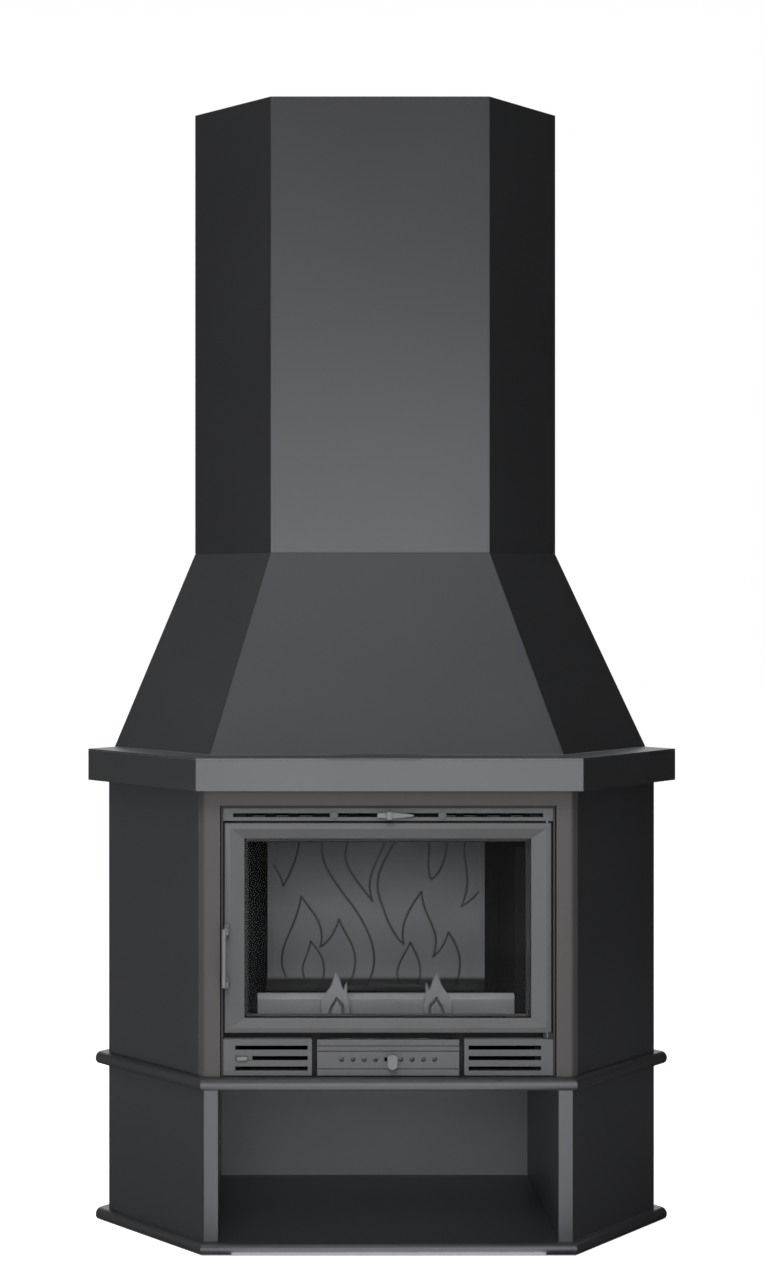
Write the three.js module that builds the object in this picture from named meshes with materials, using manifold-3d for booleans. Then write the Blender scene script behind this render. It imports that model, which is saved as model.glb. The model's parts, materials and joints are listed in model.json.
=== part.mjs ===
// A corner fireplace: a sheet-steel casing that fills a room corner, with a log niche, a glazed
// cast-iron insert, a tapered hood and a flue box. Millimetres, +Z up, X to the right, Y back into
// the corner. Depths are measured back from the mantel's front face until the last lines, which
// move the whole model so that its origin lies under the middle of its box.
import * as THREE from "three";
import { mergeVertices } from "three/addons/utils/BufferGeometryUtils.js";
import Module from "manifold-3d";

const wasm = await Module();
wasm.setup();

// ---- Driving dimensions: the casing ----
const fit = 0.3; // gap between pieces that touch
const past = 1; // how far a cutting shape runs past the face it opens
const diagonal = Math.SQRT1_2; // cosine of the casing's 45 degree sides
const mantelHalf = 367.5; // half the mantel's front face
const cornerDepth = 813.5; // from the mantel's front face to the room corner
const cornerFlat = 40; // half width of the flat that clears the room corner
const mantelHeight = 63;
const mantelSheet = 3;
const mantelLip = 55; // width of the mantel's lower flange
const plateInset = 19; // base and shelf plates behind the mantel's faces
const baseThickness = 25;
const shelfThickness = 25;
const bodyInset = 35; // body faces behind the mantel's faces
const bodyWallGap = 23; // air gap between the body and the walls
const casingSheet = 2;
const rearFlange = 25; // fold along the wall at the back of each side sheet
const cabinetHeight = 290;
const bodyHeight = 550;
const hoodHeight = 395;
const flueHeight = 930;
const hoodInset = 74; // hood front behind the mantel's front, at its foot
const hoodHalf = 342; // half the hood's front width, at its foot
const flueInset = 273; // flue box front behind the mantel's front
const flueHalf = 223; // half the flue box's front width
const throatMargin = 45; // mantel top left standing inside the hood's foot
const postWidth = 27; // front post at each side of the log niche
const nicheDepth = 420; // clear depth of the log niche behind its posts
const surroundWidth = 31; // front face of the surround at each side of the insert
const surroundThickness = 14;
const surroundRound = 12; // radius of the surround's upright edges
const surroundReturn = 14; // how far it runs along each side

// ---- Driving dimensions: the insert's front ----
const insertGap = 2; // surround to the insert at each side
const insertGapTop = 1; // and above it
const insertHead = 32; // body above the insert
const frontInset = 38; // door face behind the mantel's front
const rimWall = 4;
const rimDepth = 25; // how deep the front frame's pocket is
const frameThickness = 12;
const mouthSide = 45.5; // firebox mouth inside the door's side edges
const mouthHead = 23.5; // below its top edge
const mouthFoot = 17.5; // and over its lower edge
const doorGap = 2.5; // door to the frame's rim at each side
const doorHeadGap = 4.2; // door to the vent strip
const doorFootGap = 11.5; // door to the lower panels
const doorThickness = 22;
const doorStile = 38;
const doorTopRail = 31;
const doorBottomRail = 27;
const doorRidge = 11; // from the door's outer edge to its ridge
const doorEdgeDrop = 3; // how far the outer edge lies behind the ridge
const doorChamfer = 2;
const doorBevelDrop = 10; // how far the glass edge lies behind the ridge
const glassThickness = 4;
const glassLap = 7.5; // glass behind the frame
const glassPlay = 0.5; // glass edge to its seat
const sealIn = 6; // rope groove from the door's outer edge
const sealWidth = 8;
const sealGroove = 5;
const sealSlope = 2; // corner taken off the rope's section
const stripHeight = 24; // top vent strip
const stripThickness = 4;
const stripSlotEnd = 19; // strip left beyond each end of its slot
const stripSlotHeight = 7.7;
const stripSlotUp = 7; // strip below its slot
const studX = 104;
const studHead = 8; // radius of a guide stud's head
const studHeadHeight = 3;
const studShank = 3;
const studFloor = 4; // frame left behind each stud's bore
const bossWall = 3; // metal round each stud
const bossFoot = 4; // how much wider each boss is behind the frame's face
const sliderThickness = 2;
const sliderPlay = 2; // air-wash slider inside the strip's edges
const washPitch = 45; // spacing of the air-wash windows
const washTravel = 22.5;
const washWindow = 24;
const washWindowHeight = 12;

// ---- Driving dimensions: hinges and handle ----
const hingeIn = 8; // hinge axis from the door's right edge
const hingeBack = 8; // hinge axis behind the door face
const hingePinRadius = 3.5;
const hingePinReach = 13; // pin inside the door
const hingeLug = 10;
const hingeCap = 4; // upper lug closed over its pin
const hingeLugHalf = 8; // lug on the inner side of the hinge axis
const lugPlay = 0.9; // door to the lower lug
const lugRest = 0.6; // lower lug over the lower panels
const pinPlay = 0.3;
const handleHeight = 111;
const handleUp = 149; // middle of the handle over the door's lower edge
const handleBarRadius = 4.5;
const handleBarOut = 0.5; // bar's axis beyond the door's left edge
const handleBarInset = 9; // bar's axis behind the mantel's front
const handlePinIn = 4.5; // handle pins inside the door's left edge
const handlePinInset = 31;
const handlePinRadius = 2.5;
const knuckleRadius = 5.5;
const knuckleHeight = 14;
const lugHeight = 6;
const armOuter = 5; // handle arm outside its pins' line
const armInner = 2; // and inside it
const armHeight = 10;
const hookThickness = 2.8;
const hookReach = 21; // latch hook behind the handle pins
const hookBarb = 1.6; // how far its tip stands out
const hookClear = 2.2; // hook arm from the front frame's rim
const hookPlay = 2; // door to the hook, above and below

// ---- Driving dimensions: the lower panels ----
const panelHeight = 69;
const panelUp = 2; // lower panels over the shelf
const panelThickness = 5;
const panelWall = 4;
const panelGap = 10; // ash drawer to each grille
const slotStart = 8; // grille left at each slot's inner end
const slotEnd = 23; // frame's pocket beyond each slot's outer end
const slotHeight = 8.5;
const slotRise = 20; // spacing of the grille slots
const slotFirst = 15; // lowest slot's middle over the shelf
const ventEdge = 8; // front frame left round the openings behind the grilles
const drawerHalf = 136;
const drawerPlay = 8; // front frame's opening round the ash pan
const drawerHead = 13; // and above it
const grooveLevels = [14, 48, 58]; // drawer front's grooves over the shelf
const grooveHalf = 2.6;
const grooveDepth = 2;
const holeRadius = 5;
const holePitch = 21.6;
const holeFirst = 24.2; // nearest air hole to the middle
const holeUp = 33; // air holes over the shelf
const holesPerSide = 4;
const airPlateWall = 6; // air slider beyond its last hole
const airPlateHeight = 18;
const airTravel = 10.8;
const guideHeight = 4; // rails that hold the air slider
const guideHook = 3;
const airKnobX = 7.5; // knob right of the middle when the holes are open
const knobWidth = 19;
const knobHeight = 28;
const knobThickness = 8;
const knobChamfer = 4;
const knobDrop = 4; // knob's middle below the holes
const stemRadius = 3;
const tabWidth = 20;
const tabIn = 13; // tab's middle from its slot's outer end
const tabPlateHeight = 18;

// ---- Driving dimensions: the firebox, grate, ash pan and flue ----
const wallIn = 34; // firebox's side plates inside the insert's edges
const wallPlate = 10;
const fireboxDepth = 348; // from the front frame's back to the firebox's outer back
const hearthRise = 7.5; // hearth over the door's lower edge
const hearthPlate = 12;
const roofDrop = 43; // firebox roof below the insert's top
const roofPlate = 10;
const smokeGap = 44; // side plates' top to the firebox roof
const linerThickness = 23.7;
const linerChamfer = 24;
const firebackThickness = 15;
const baffleThickness = 10;
const baffleDepth = 240;
const grateHalf = 110;
const grateDepth = 180;
const grateFront = 95; // hearth in front of the grate
const grateLedge = 8;
const gratePlay = 1;
const grateThickness = 7;
const grateSlots = 9;
const grateBar = 12;
const grateRim = 8; // grate left at each slot's ends
const panHalf = 118;
const panDepth = 275;
const panHeight = 45;
const panSheet = 2;
const panGap = 9; // pan behind the drawer front
const bracketWidth = 3;
const floorPlate = 9.4;
const floorMargin = 32; // ash floor beyond the pan
const retainerEnd = 2; // retainer to the side liners
const retainerHeight = 56;
const retainerThickness = 12;
const retainerInset = 95; // retainer behind the mantel's front
const retainerBevel = 9;
const andironX = 97;
const andironHeight = 100;
const andironThickness = 12;
const andironHook = 5; // half width, and height, of the hook over the retainer
const collarInset = 300; // flue collar's axis behind the mantel's front
const flueBore = 85.5; // inner radius of the flue bend
const flueWall = 2;
const collarHeight = 55;
const collarFlange = 115;
const collarWall = 5;
const collarFoot = 6; // thickness of the collar's flange
const flueAxisInset = 500; // upright flue pipe's axis behind the mantel's front
const flueLap = 40;
const bendStraight = 60; // straight end of the bend over the body, and at its top
const bendEase = 0.45; // how gently the bend leaves each straight end

// ---- Levels, widths and depths that follow ----
const shelfBottom = baseThickness + cabinetHeight;
const shelfTop = shelfBottom + shelfThickness;
const mantelBottom = shelfTop + bodyHeight;
const mantelTop = mantelBottom + mantelHeight;
const hoodTop = mantelTop + hoodHeight;
const flueTop = hoodTop + flueHeight;
const frameTop = mantelBottom - insertHead;
const stripTop = frameTop - rimWall - fit;
const stripLow = stripTop - stripHeight;
const panelLow = shelfTop + panelUp;
const panelTop = panelLow + panelHeight;
const doorLow = panelTop + doorFootGap;
const doorHigh = stripLow - doorHeadGap;
const bodyHalf = mantelHalf + bodyInset - bodyInset / diagonal;
const nicheHalf = bodyHalf - postWidth;
const surroundHalf = bodyHalf - surroundWidth;
const insertHalf = surroundHalf - insertGap;
const pocketHalf = insertHalf - rimWall;
const doorHalf = pocketHalf - doorGap;
const doorBack = frontInset + doorThickness;
const frameFront = frontInset + rimDepth;
const frameBack = frameFront + frameThickness;
const hearth = doorLow + hearthRise;
const roof = frameTop - roofDrop;
const boxFront = frameBack + fit;
const boxBack = frameBack + fireboxDepth;
const wallHalf = insertHalf - wallIn;
const wallInner = wallHalf - wallPlate;
const linerInner = wallInner - fit - linerThickness;
const linerHeight = roof - hearth - smokeGap;
const grilleInner = drawerHalf + panelGap;
const slotInner = grilleInner + slotStart;
const slotOuter = pocketHalf - slotEnd;
const bendRadius = flueBore + flueWall; // outside of the flue bend
const collarBore = bendRadius + fit;

// ---- Finishes ----
const finish = (color, roughness, metalness, extra = {}) =>
  new THREE.MeshStandardMaterial({ color, roughness, metalness, ...extra });
const casingPaint = finish(0x4c4e52, 0.5, 0.3);
const surroundPaint = finish(0x5a5652, 0.6, 0.2);
const castIron = finish(0x55575b, 0.6, 0.4);
const fireIron = finish(0x3a3a3c, 0.8, 0.3);
const bareSteel = finish(0x8a8c90, 0.4, 0.9);
const zincSheet = finish(0x8e9296, 0.45, 0.8);
const rope = finish(0x8a8680, 1, 0);
const clearGlass = finish(0x20242a, 0.05, 0, { transparent: true, opacity: 0.35 });

// ---- Shape helpers ----
const group = new THREE.Group();

// A closed geometry with shared vertices and its faces outward.
function closed(geometry) {
  const bare = geometry.index ? geometry.toNonIndexed() : geometry.clone();
  bare.deleteAttribute("normal");
  bare.deleteAttribute("uv");
  const merged = mergeVertices(bare, 1e-3);
  const index = merged.index.array;
  const p = (i) => new THREE.Vector3().fromBufferAttribute(merged.attributes.position, index[i]);
  let volume = 0;
  for (let i = 0; i < index.length; i += 3) volume += p(i).dot(p(i + 1).cross(p(i + 2)));
  if (volume < 0) {
    for (let i = 0; i < index.length; i += 3) [index[i], index[i + 1]] = [index[i + 1], index[i]];
  }
  return merged;
}

function solid(geometry) {
  const g = closed(geometry);
  return new wasm.Manifold(
    new wasm.Mesh({
      numProp: 3,
      vertProperties: new Float32Array(g.attributes.position.array),
      triVerts: new Uint32Array(g.index.array),
    }),
  );
}

function surface(manifold) {
  const mesh = manifold.getMesh();
  return new THREE.BufferGeometry()
    .setAttribute("position", new THREE.BufferAttribute(mesh.vertProperties, 3))
    .setIndex(new THREE.BufferAttribute(mesh.triVerts, 1));
}

const cut = (body, ...tools) => surface(tools.reduce((s, t) => s.subtract(solid(t)), solid(body)));
const join = (...parts) => surface(parts.map(solid).reduce((a, b) => a.add(b)));
const mirrored = (geometry) => closed(geometry).clone().scale(-1, 1, 1);

function add(name, geometry, material) {
  const mesh = new THREE.Mesh(closed(geometry), material);
  mesh.name = name;
  group.add(mesh);
}

// The same piece on the right, and mirrored on the left.
function addPair(name, geometry, material) {
  add(name + "_right", geometry, material);
  add(name + "_left", mirrored(geometry), material);
}

const middle = (a, b) => (a + b) / 2;
const box = (x0, x1, y0, y1, z0, z1) =>
  new THREE.BoxGeometry(x1 - x0, y1 - y0, z1 - z0).translate(
    middle(x0, x1),
    middle(y0, y1),
    middle(z0, z1),
  );
const wide = (half, y0, y1, z0, z1) => box(-half, half, y0, y1, z0, z1);

const outline = (points) => new THREE.Shape(points.map(([x, y]) => new THREE.Vector2(x, y)));
const extrude = (shape, depth) =>
  new THREE.ExtrudeGeometry(shape, { depth, bevelEnabled: false, curveSegments: 8 });

// A plan outline raised from z0 to z1.
const prism = (points, z0, z1) => extrude(outline(points), z1 - z0).translate(0, 0, z0);

const axes = (x, y, z) =>
  new THREE.Matrix4().makeBasis(new THREE.Vector3(...x), new THREE.Vector3(...y), new THREE.Vector3(...z));

// A section of (depth, height) points run along X.
const railAlongX = (points, x0, x1) =>
  extrude(outline(points), x1 - x0)
    .applyMatrix4(axes([0, 1, 0], [0, 0, 1], [1, 0, 0]))
    .translate(x0, 0, 0);

// A front outline of (x, height) given a thickness from y0 back to y1.
const frontPlate = (shape, y0, y1) =>
  extrude(shape, y1 - y0)
    .applyMatrix4(axes([1, 0, 0], [0, 0, 1], [0, -1, 0]))
    .translate(0, y1, 0);

const round = (radius, length, sides) => new THREE.CylinderGeometry(radius, radius, length, sides);
const roundZ = (radius, x, y, z0, z1, sides = 20) =>
  round(radius, z1 - z0, sides)
    .rotateX(Math.PI / 2)
    .translate(x, y, middle(z0, z1));
const roundY = (radius, x, z, y0, y1, sides = 20) =>
  round(radius, y1 - y0, sides).translate(x, middle(y0, y1), z);

// A turned ring of (radius, height) points about an upright axis.
function turned(points, x, y, sides = 40) {
  const profile = [...points, points[0]].map(([r, z]) => new THREE.Vector2(r, z));
  return new THREE.LatheGeometry(profile, sides).rotateX(Math.PI / 2).translate(x, y, 0);
}

// A solid through rings of equal point counts, with flat ends.
function loft(rings) {
  const count = rings[0].length;
  const index = [];
  rings.slice(1).forEach((ring, r) => {
    for (let i = 0; i < count; i += 1) {
      const a = r * count + i;
      const b = r * count + ((i + 1) % count);
      index.push(a, b, b + count, a, b + count, a + count);
    }
  });
  const last = (rings.length - 1) * count;
  for (let i = 1; i < count - 1; i += 1) {
    index.push(0, i + 1, i, last, last + i, last + i + 1);
  }
  return new THREE.BufferGeometry()
    .setAttribute("position", new THREE.Float32BufferAttribute(rings.flat(2), 3))
    .setIndex(index);
}

// ---- The casing's plan: a front face, 45 degree sides on X - Y = side, walls on X + Y = wall ----
const walls = (gap) => cornerDepth - gap / diagonal;
const level = (front, side, wall) => ({ front, side, wall });
const inset = (depth, gap = 0) => level(depth, mantelHalf - depth / diagonal, walls(gap));
const inside = (p, sheet) => level(p.front + sheet, p.side - sheet / diagonal, p.wall);
const cornerOf = (p) => [p.side + p.front, p.front];
const endOf = (p) => [(p.side + p.wall) / 2, (p.wall - p.side) / 2];
const flip = ([x, y]) => [-x, y];

function plateOutline(p) {
  const back = [cornerFlat, p.wall - cornerFlat];
  return [flip(cornerOf(p)), cornerOf(p), endOf(p), back, flip(back), flip(endOf(p))];
}

// The three visible faces as one band, from one wall round the front to the other.
function bandOutline(outer, inner) {
  const out = [flip(endOf(outer)), flip(cornerOf(outer)), cornerOf(outer), endOf(outer)];
  const back = [endOf(inner), cornerOf(inner), flip(cornerOf(inner)), flip(endOf(inner))];
  return [...out, ...back];
}

// A plate with half-round front and side edges.
function roundedPlate(z0, thickness) {
  const radius = thickness / 2;
  const steps = 8;
  const rings = [];
  for (let i = 0; i <= steps; i += 1) {
    const angle = ((i / steps) * 2 - 1) * (Math.PI / 2);
    const p = inset(plateInset + radius * (1 - Math.cos(angle)));
    const z = z0 + radius * (1 + Math.sin(angle));
    rings.push(plateOutline(p).map(([x, y]) => [x, y, z]));
  }
  return loft(rings);
}

// A folded side sheet: an optional strip of the front face, the 45 degree side and a rear flange.
function sideSheet(p, frontStart, z0, z1) {
  const q = inside(p, casingSheet);
  const r = level(q.front, q.side, p.wall - casingSheet / diagonal);
  const run = rearFlange * diagonal;
  const skin = casingSheet * diagonal;
  const end = endOf(p);
  const tip = [end[0] - run, end[1] + run];
  const points = [
    [frontStart, p.front],
    cornerOf(p),
    end,
    tip,
    [tip[0] - skin, tip[1] - skin],
    endOf(r),
    cornerOf(q),
    [frontStart, q.front],
  ];
  return prism(points, z0, z1);
}

// ---- Base, niche and shelf ----
const body = inset(bodyInset, bodyWallGap);
const nicheFront = bodyInset + casingSheet + fit;
const nicheBack = bodyInset + nicheDepth;
const cabinetFoot = baseThickness + fit;

add("base_plate", roundedPlate(0, baseThickness), casingPaint);
addPair("lower_side", sideSheet(body, nicheHalf, cabinetFoot, shelfBottom), casingPaint);
addPair(
  "niche_wall",
  box(nicheHalf, nicheHalf + casingSheet, nicheFront, nicheBack, cabinetFoot, shelfBottom),
  casingPaint,
);
add(
  "niche_back",
  wide(nicheHalf + casingSheet, nicheBack + fit, nicheBack + fit + casingSheet, cabinetFoot, shelfBottom),
  casingPaint,
);
add("shelf_plate", roundedPlate(shelfBottom + fit, shelfThickness - fit), casingPaint);

// ---- Upper body: surround, side sheets and heat shields ----
const bodyFoot = shelfTop + fit;

// The surround's plan runs along one side, round a soft corner, across the front and back again.
function surroundPlan() {
  const shape = new THREE.Shape();
  const [cx, cy] = cornerOf(body);
  const reach = surroundRound * Math.tan(Math.PI / 8);
  const back = surroundReturn * diagonal;
  const q = inside(body, surroundThickness);
  const [qx, qy] = cornerOf(q);
  const skin = surroundThickness * diagonal;
  shape.moveTo(-cx - back, cy + back);
  shape.lineTo(-cx - reach * diagonal, cy + reach * diagonal);
  shape.quadraticCurveTo(-cx, cy, -cx + reach, cy);
  shape.lineTo(cx - reach, cy);
  shape.quadraticCurveTo(cx, cy, cx + reach * diagonal, cy + reach * diagonal);
  shape.lineTo(cx + back, cy + back);
  shape.lineTo(cx + back - skin, cy + back + skin);
  shape.lineTo(qx, qy);
  shape.lineTo(-qx, qy);
  shape.lineTo(-cx - back + skin, cy + back + skin);
  return shape;
}

const surroundBlank = extrude(surroundPlan(), bodyHeight - 2 * fit).translate(0, 0, bodyFoot);
const surroundGap = wide(
  surroundHalf,
  bodyInset - past,
  bodyInset + surroundThickness + past,
  bodyFoot - past,
  frameTop + insertGapTop,
);
add("front_surround", cut(surroundBlank, surroundGap), surroundPaint);

// The upper side sheet starts where the surround's return ends.
function upperSide() {
  const q = inside(body, casingSheet);
  const r = level(q.front, q.side, body.wall - casingSheet / diagonal);
  const start = (surroundReturn + fit) * diagonal;
  const run = rearFlange * diagonal;
  const skin = casingSheet * diagonal;
  const [cx, cy] = cornerOf(body);
  const end = endOf(body);
  const tip = [end[0] - run, end[1] + run];
  const points = [
    [cx + start, cy + start],
    end,
    tip,
    [tip[0] - skin, tip[1] - skin],
    endOf(r),
    [cx + start - skin, cy + start + skin],
  ];
  return prism(points, bodyFoot, mantelBottom);
}
addPair("upper_side", upperSide(), casingPaint);

function heatShield() {
  const wall = body.wall;
  const skin = casingSheet * diagonal;
  const run = (rearFlange + fit) * diagonal;
  const end = endOf(body);
  const start = [end[0] - run, end[1] + run];
  const turn = [cornerFlat, wall - cornerFlat];
  const back = turn[1] - casingSheet;
  const innerTurn = [wall - casingSheet / diagonal - back, back];
  const points = [
    start,
    turn,
    [fit, turn[1]],
    [fit, back],
    innerTurn,
    [start[0] - skin, start[1] - skin],
  ];
  return prism(points, bodyFoot, mantelBottom);
}
addPair("heat_shield", heatShield(), zincSheet);

// ---- Mantel ----
const mantelFace = inset(0);
const topFoot = mantelTop - mantelSheet;
const fasciaOuter = prism(bandOutline(mantelFace, inset(mantelLip)), mantelBottom + fit, topFoot - fit);
const pastWall = (depth) => ({ ...inset(depth), wall: walls(0) + 2 * past });
const fasciaHollow = prism(
  bandOutline(pastWall(mantelSheet), pastWall(mantelLip + past)),
  mantelBottom + fit + mantelSheet,
  mantelTop,
);
add("mantel_fascia", cut(fasciaOuter, fasciaHollow), casingPaint);

const hoodFoot = level(hoodInset, hoodHalf - hoodInset, walls(0));
const flueFoot = level(flueInset, flueHalf - flueInset, walls(0));
const throatEdge = inside(hoodFoot, throatMargin);
const throat = level(throatEdge.front, throatEdge.side, walls(throatMargin));
add(
  "mantel_top",
  cut(
    prism(plateOutline(mantelFace), topFoot, mantelTop),
    prism(plateOutline(throat), topFoot - mantelSheet, mantelTop + mantelSheet),
  ),
  casingPaint,
);

// ---- Hood and flue box: sheets between a lower and an upper plan ----
const lift = (points, z) => points.map(([x, y]) => [x, y, z]);

function frontSheet(low, high, z0, z1) {
  const ring = (p) => {
    const q = inside(p, casingSheet);
    return [flip(cornerOf(p)), cornerOf(p), cornerOf(q), flip(cornerOf(q))];
  };
  return loft([lift(ring(low), z0), lift(ring(high), z1)]);
}

function slopedSide(low, high, z0, z1) {
  const gap = fit * diagonal;
  const ring = (p) => {
    const q = inside(p, casingSheet);
    const shift = ([x, y]) => [x + gap, y + gap];
    return [shift(cornerOf(p)), endOf(p), endOf(q), shift(cornerOf(q))];
  };
  return loft([lift(ring(low), z0), lift(ring(high), z1)]);
}

add("hood_front", frontSheet(hoodFoot, flueFoot, mantelTop + fit, hoodTop), casingPaint);
addPair("hood_side", slopedSide(hoodFoot, flueFoot, mantelTop + fit, hoodTop), casingPaint);
add("flue_front", frontSheet(flueFoot, flueFoot, hoodTop + fit, flueTop), casingPaint);
addPair("flue_side", slopedSide(flueFoot, flueFoot, hoodTop + fit, flueTop), casingPaint);

// ---- Insert: front frame with its pocket, mouth, vents, hinge lugs and stud bosses ----
const slotLow = stripLow + stripSlotUp;
const slotHigh = slotLow + stripSlotHeight;
const slotMiddle = (slotLow + slotHigh) / 2;
const hingeX = doorHalf - hingeIn;
const hingeY = frontInset + hingeBack;
const pinBore = hingePinRadius + pinPlay;
const sliderFront = frontInset + stripThickness + fit;
const sliderBack = sliderFront + sliderThickness;
const bossFront = sliderBack + fit;
const bossRadius = studShank + pinPlay + bossWall;
const upperLugLow = doorHigh + doorHeadGap / 2;
const lowerLugHigh = doorLow - lugPlay;
const lowerLugLow = panelTop + lugRest;
const handlePinX = doorHalf - handlePinIn;
const handleMiddle = doorLow + handleUp;
const barLow = handleMiddle - handleHeight / 2;
const barHigh = handleMiddle + handleHeight / 2;
const hookLow = barLow + past;
const hookHigh = hookLow + armHeight;
const hookEnd = handlePinInset + hookReach;
const hookStep = hookEnd - 2 * hookThickness;

const throughFrame = (x0, x1, z0, z1) => box(x0, x1, frameFront - past, frameBack + past, z0, z1);
const mouthHalf = doorHalf - mouthSide;
const panHead = shelfTop + floorPlate + panHeight + drawerHead;
const ventLow = shelfTop + ventEdge;
const ventHigh = panelTop - ventEdge;
const washHalf = washPitch * 6;
const framePlate = cut(
  wide(insertHalf, frontInset, frameBack, shelfTop + fit, frameTop),
  wide(pocketHalf, frontInset - past, frameFront, shelfTop - past, frameTop - rimWall),
  throughFrame(-mouthHalf, mouthHalf, doorLow + mouthFoot, doorHigh - mouthHead),
  throughFrame(-panHalf - drawerPlay, panHalf + drawerPlay, shelfTop + floorPlate / 2, panHead),
  throughFrame(slotInner, slotOuter - ventEdge, ventLow, ventHigh),
  throughFrame(-slotOuter + ventEdge, -slotInner, ventLow, ventHigh),
  throughFrame(-washHalf, washHalf, slotLow - past, slotHigh + bossWall),
);
const hingeBlock = (z0, z1) =>
  box(hingeX - hingeLugHalf, pocketHalf + past, sliderFront, frameFront + past, z0, z1);
const stud = (x, r, y0, y1) => roundY(r, x, slotMiddle, y0, y1, 16);
const studs = (r, y0, y1) => [stud(studX, r, y0, y1), stud(-studX, r, y0, y1)];
const hookWindow = box(
  -insertHalf - past,
  -pocketHalf + past,
  hookStep - hookThickness,
  hookEnd + hookPlay * 2,
  hookLow - hookPlay - past,
  hookHigh + hookPlay + past,
);
add(
  "front_frame",
  cut(
    join(
      framePlate,
      hingeBlock(upperLugLow, upperLugLow + hingeLug + hingeCap),
      hingeBlock(lowerLugLow, lowerLugHigh),
      ...studs(bossRadius, bossFront, frameFront + past),
      ...studs(bossRadius + bossFoot, frameFront, frameBack),
    ),
    roundZ(pinBore, hingeX, hingeY, lowerLugLow - past, lowerLugHigh + past),
    roundZ(pinBore, hingeX, hingeY, upperLugLow - past, upperLugLow + hingeLug),
    ...studs(studShank + pinPlay, bossFront - past, frameBack - studFloor),
    hookWindow,
  ),
  castIron,
);

// ---- Top vent strip, its guide studs and the air-wash slider ----
add(
  "vent_strip",
  cut(
    wide(pocketHalf - fit, frontInset, frontInset + stripThickness, stripLow, stripTop),
    wide(pocketHalf - stripSlotEnd, frontInset - past, sliderFront, slotLow, slotHigh),
  ),
  castIron,
);
const studSeat = frontInset - fit;
const guideStud = (x) =>
  join(
    stud(x, studHead, studSeat - studHeadHeight, studSeat),
    stud(x, studShank, studSeat - past, frameBack - studFloor - past),
  );
add("guide_stud_right", guideStud(studX), castIron);
add("guide_stud_left", guideStud(-studX), castIron);

const windowCentres = [1, 3.5, 4.5, 5.5].map((n) => n * washPitch);
const washPlate = wide(
  windowCentres.at(-1) + washWindow,
  sliderFront,
  sliderBack,
  stripLow + sliderPlay,
  stripTop - sliderPlay,
);
const throughSlider = (x0, x1, z0, z1) => box(x0, x1, sliderFront - past, sliderBack + past, z0, z1);
const washWindows = windowCentres.flatMap((centre) =>
  [centre, -centre].map((x) =>
    throughSlider(
      x - washWindow / 2,
      x + washWindow / 2,
      slotMiddle - washWindowHeight / 2,
      slotMiddle + washWindowHeight / 2,
    ),
  ),
);
const shankRoom = studShank + pinPlay;
const studSlot = (x) =>
  throughSlider(x - shankRoom, x + shankRoom + washTravel, slotMiddle - shankRoom, slotMiddle + shankRoom);
add("air_wash_slider", cut(washPlate, ...washWindows, studSlot(studX), studSlot(-studX)), bareSteel);

// The knob: a low wing in the slot's line, an upright grip, and a tail that tapers to the right.
const knobSeat = frontInset - fit;
const wing = { start: -21, neck: -3, shoulder: 6, tip: 49, half: 4, wide: 6, thin: 1.6, thickness: 5 };
const grip = { reach: 12.7, half: 7.5, tongue: 5, play: 0.6 };
const knobShape = outline([
  [wing.start, slotMiddle - wing.half],
  [wing.shoulder, slotMiddle - wing.wide],
  [wing.tip, slotMiddle - wing.thin],
  [wing.tip, slotMiddle + wing.thin],
  [wing.shoulder, slotMiddle + wing.wide],
  [wing.start, slotMiddle + wing.half],
]);
add(
  "air_wash_knob",
  join(
    frontPlate(knobShape, knobSeat - wing.thickness, knobSeat),
    box(
      wing.neck,
      wing.shoulder,
      knobSeat - grip.reach,
      knobSeat - past,
      slotMiddle - grip.half,
      slotMiddle + grip.half,
    ),
    wide(grip.tongue, knobSeat - past, sliderFront - fit, slotLow + grip.play, slotHigh - grip.play),
  ),
  castIron,
);

// ---- Door: a mitred frame, its glass, rope seal and glass strips ----
const doorRails = { left: doorStile, right: doorStile, top: doorTopRail, bottom: doorBottomRail };

// A frame of four mitred rails. Each section point is [edge, distance, depth]: its distance runs in
// from the rail's outer edge ("outer") or out from its inner edge ("inner").
function mitredFrame(section, half, low, high, rails) {
  const place = ([edge, distance], rail) => (edge === "outer" ? distance : rail - distance);
  const rings = section.map((point) => {
    const x0 = -half + place(point, rails.left);
    const x1 = half - place(point, rails.right);
    const z0 = low + place(point, rails.bottom);
    const z1 = high - place(point, rails.top);
    const y = point[2];
    return [
      [x0, y, z0],
      [x1, y, z0],
      [x1, y, z1],
      [x0, y, z1],
    ];
  });
  const index = [];
  rings.forEach((_, r) => {
    const next = (r + 1) % rings.length;
    for (let i = 0; i < 4; i += 1) {
      const j = (i + 1) % 4;
      index.push(r * 4 + i, r * 4 + j, next * 4 + j, r * 4 + i, next * 4 + j, next * 4 + i);
    }
  });
  return new THREE.BufferGeometry()
    .setAttribute("position", new THREE.Float32BufferAttribute(rings.flat(2), 3))
    .setIndex(index);
}

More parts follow.
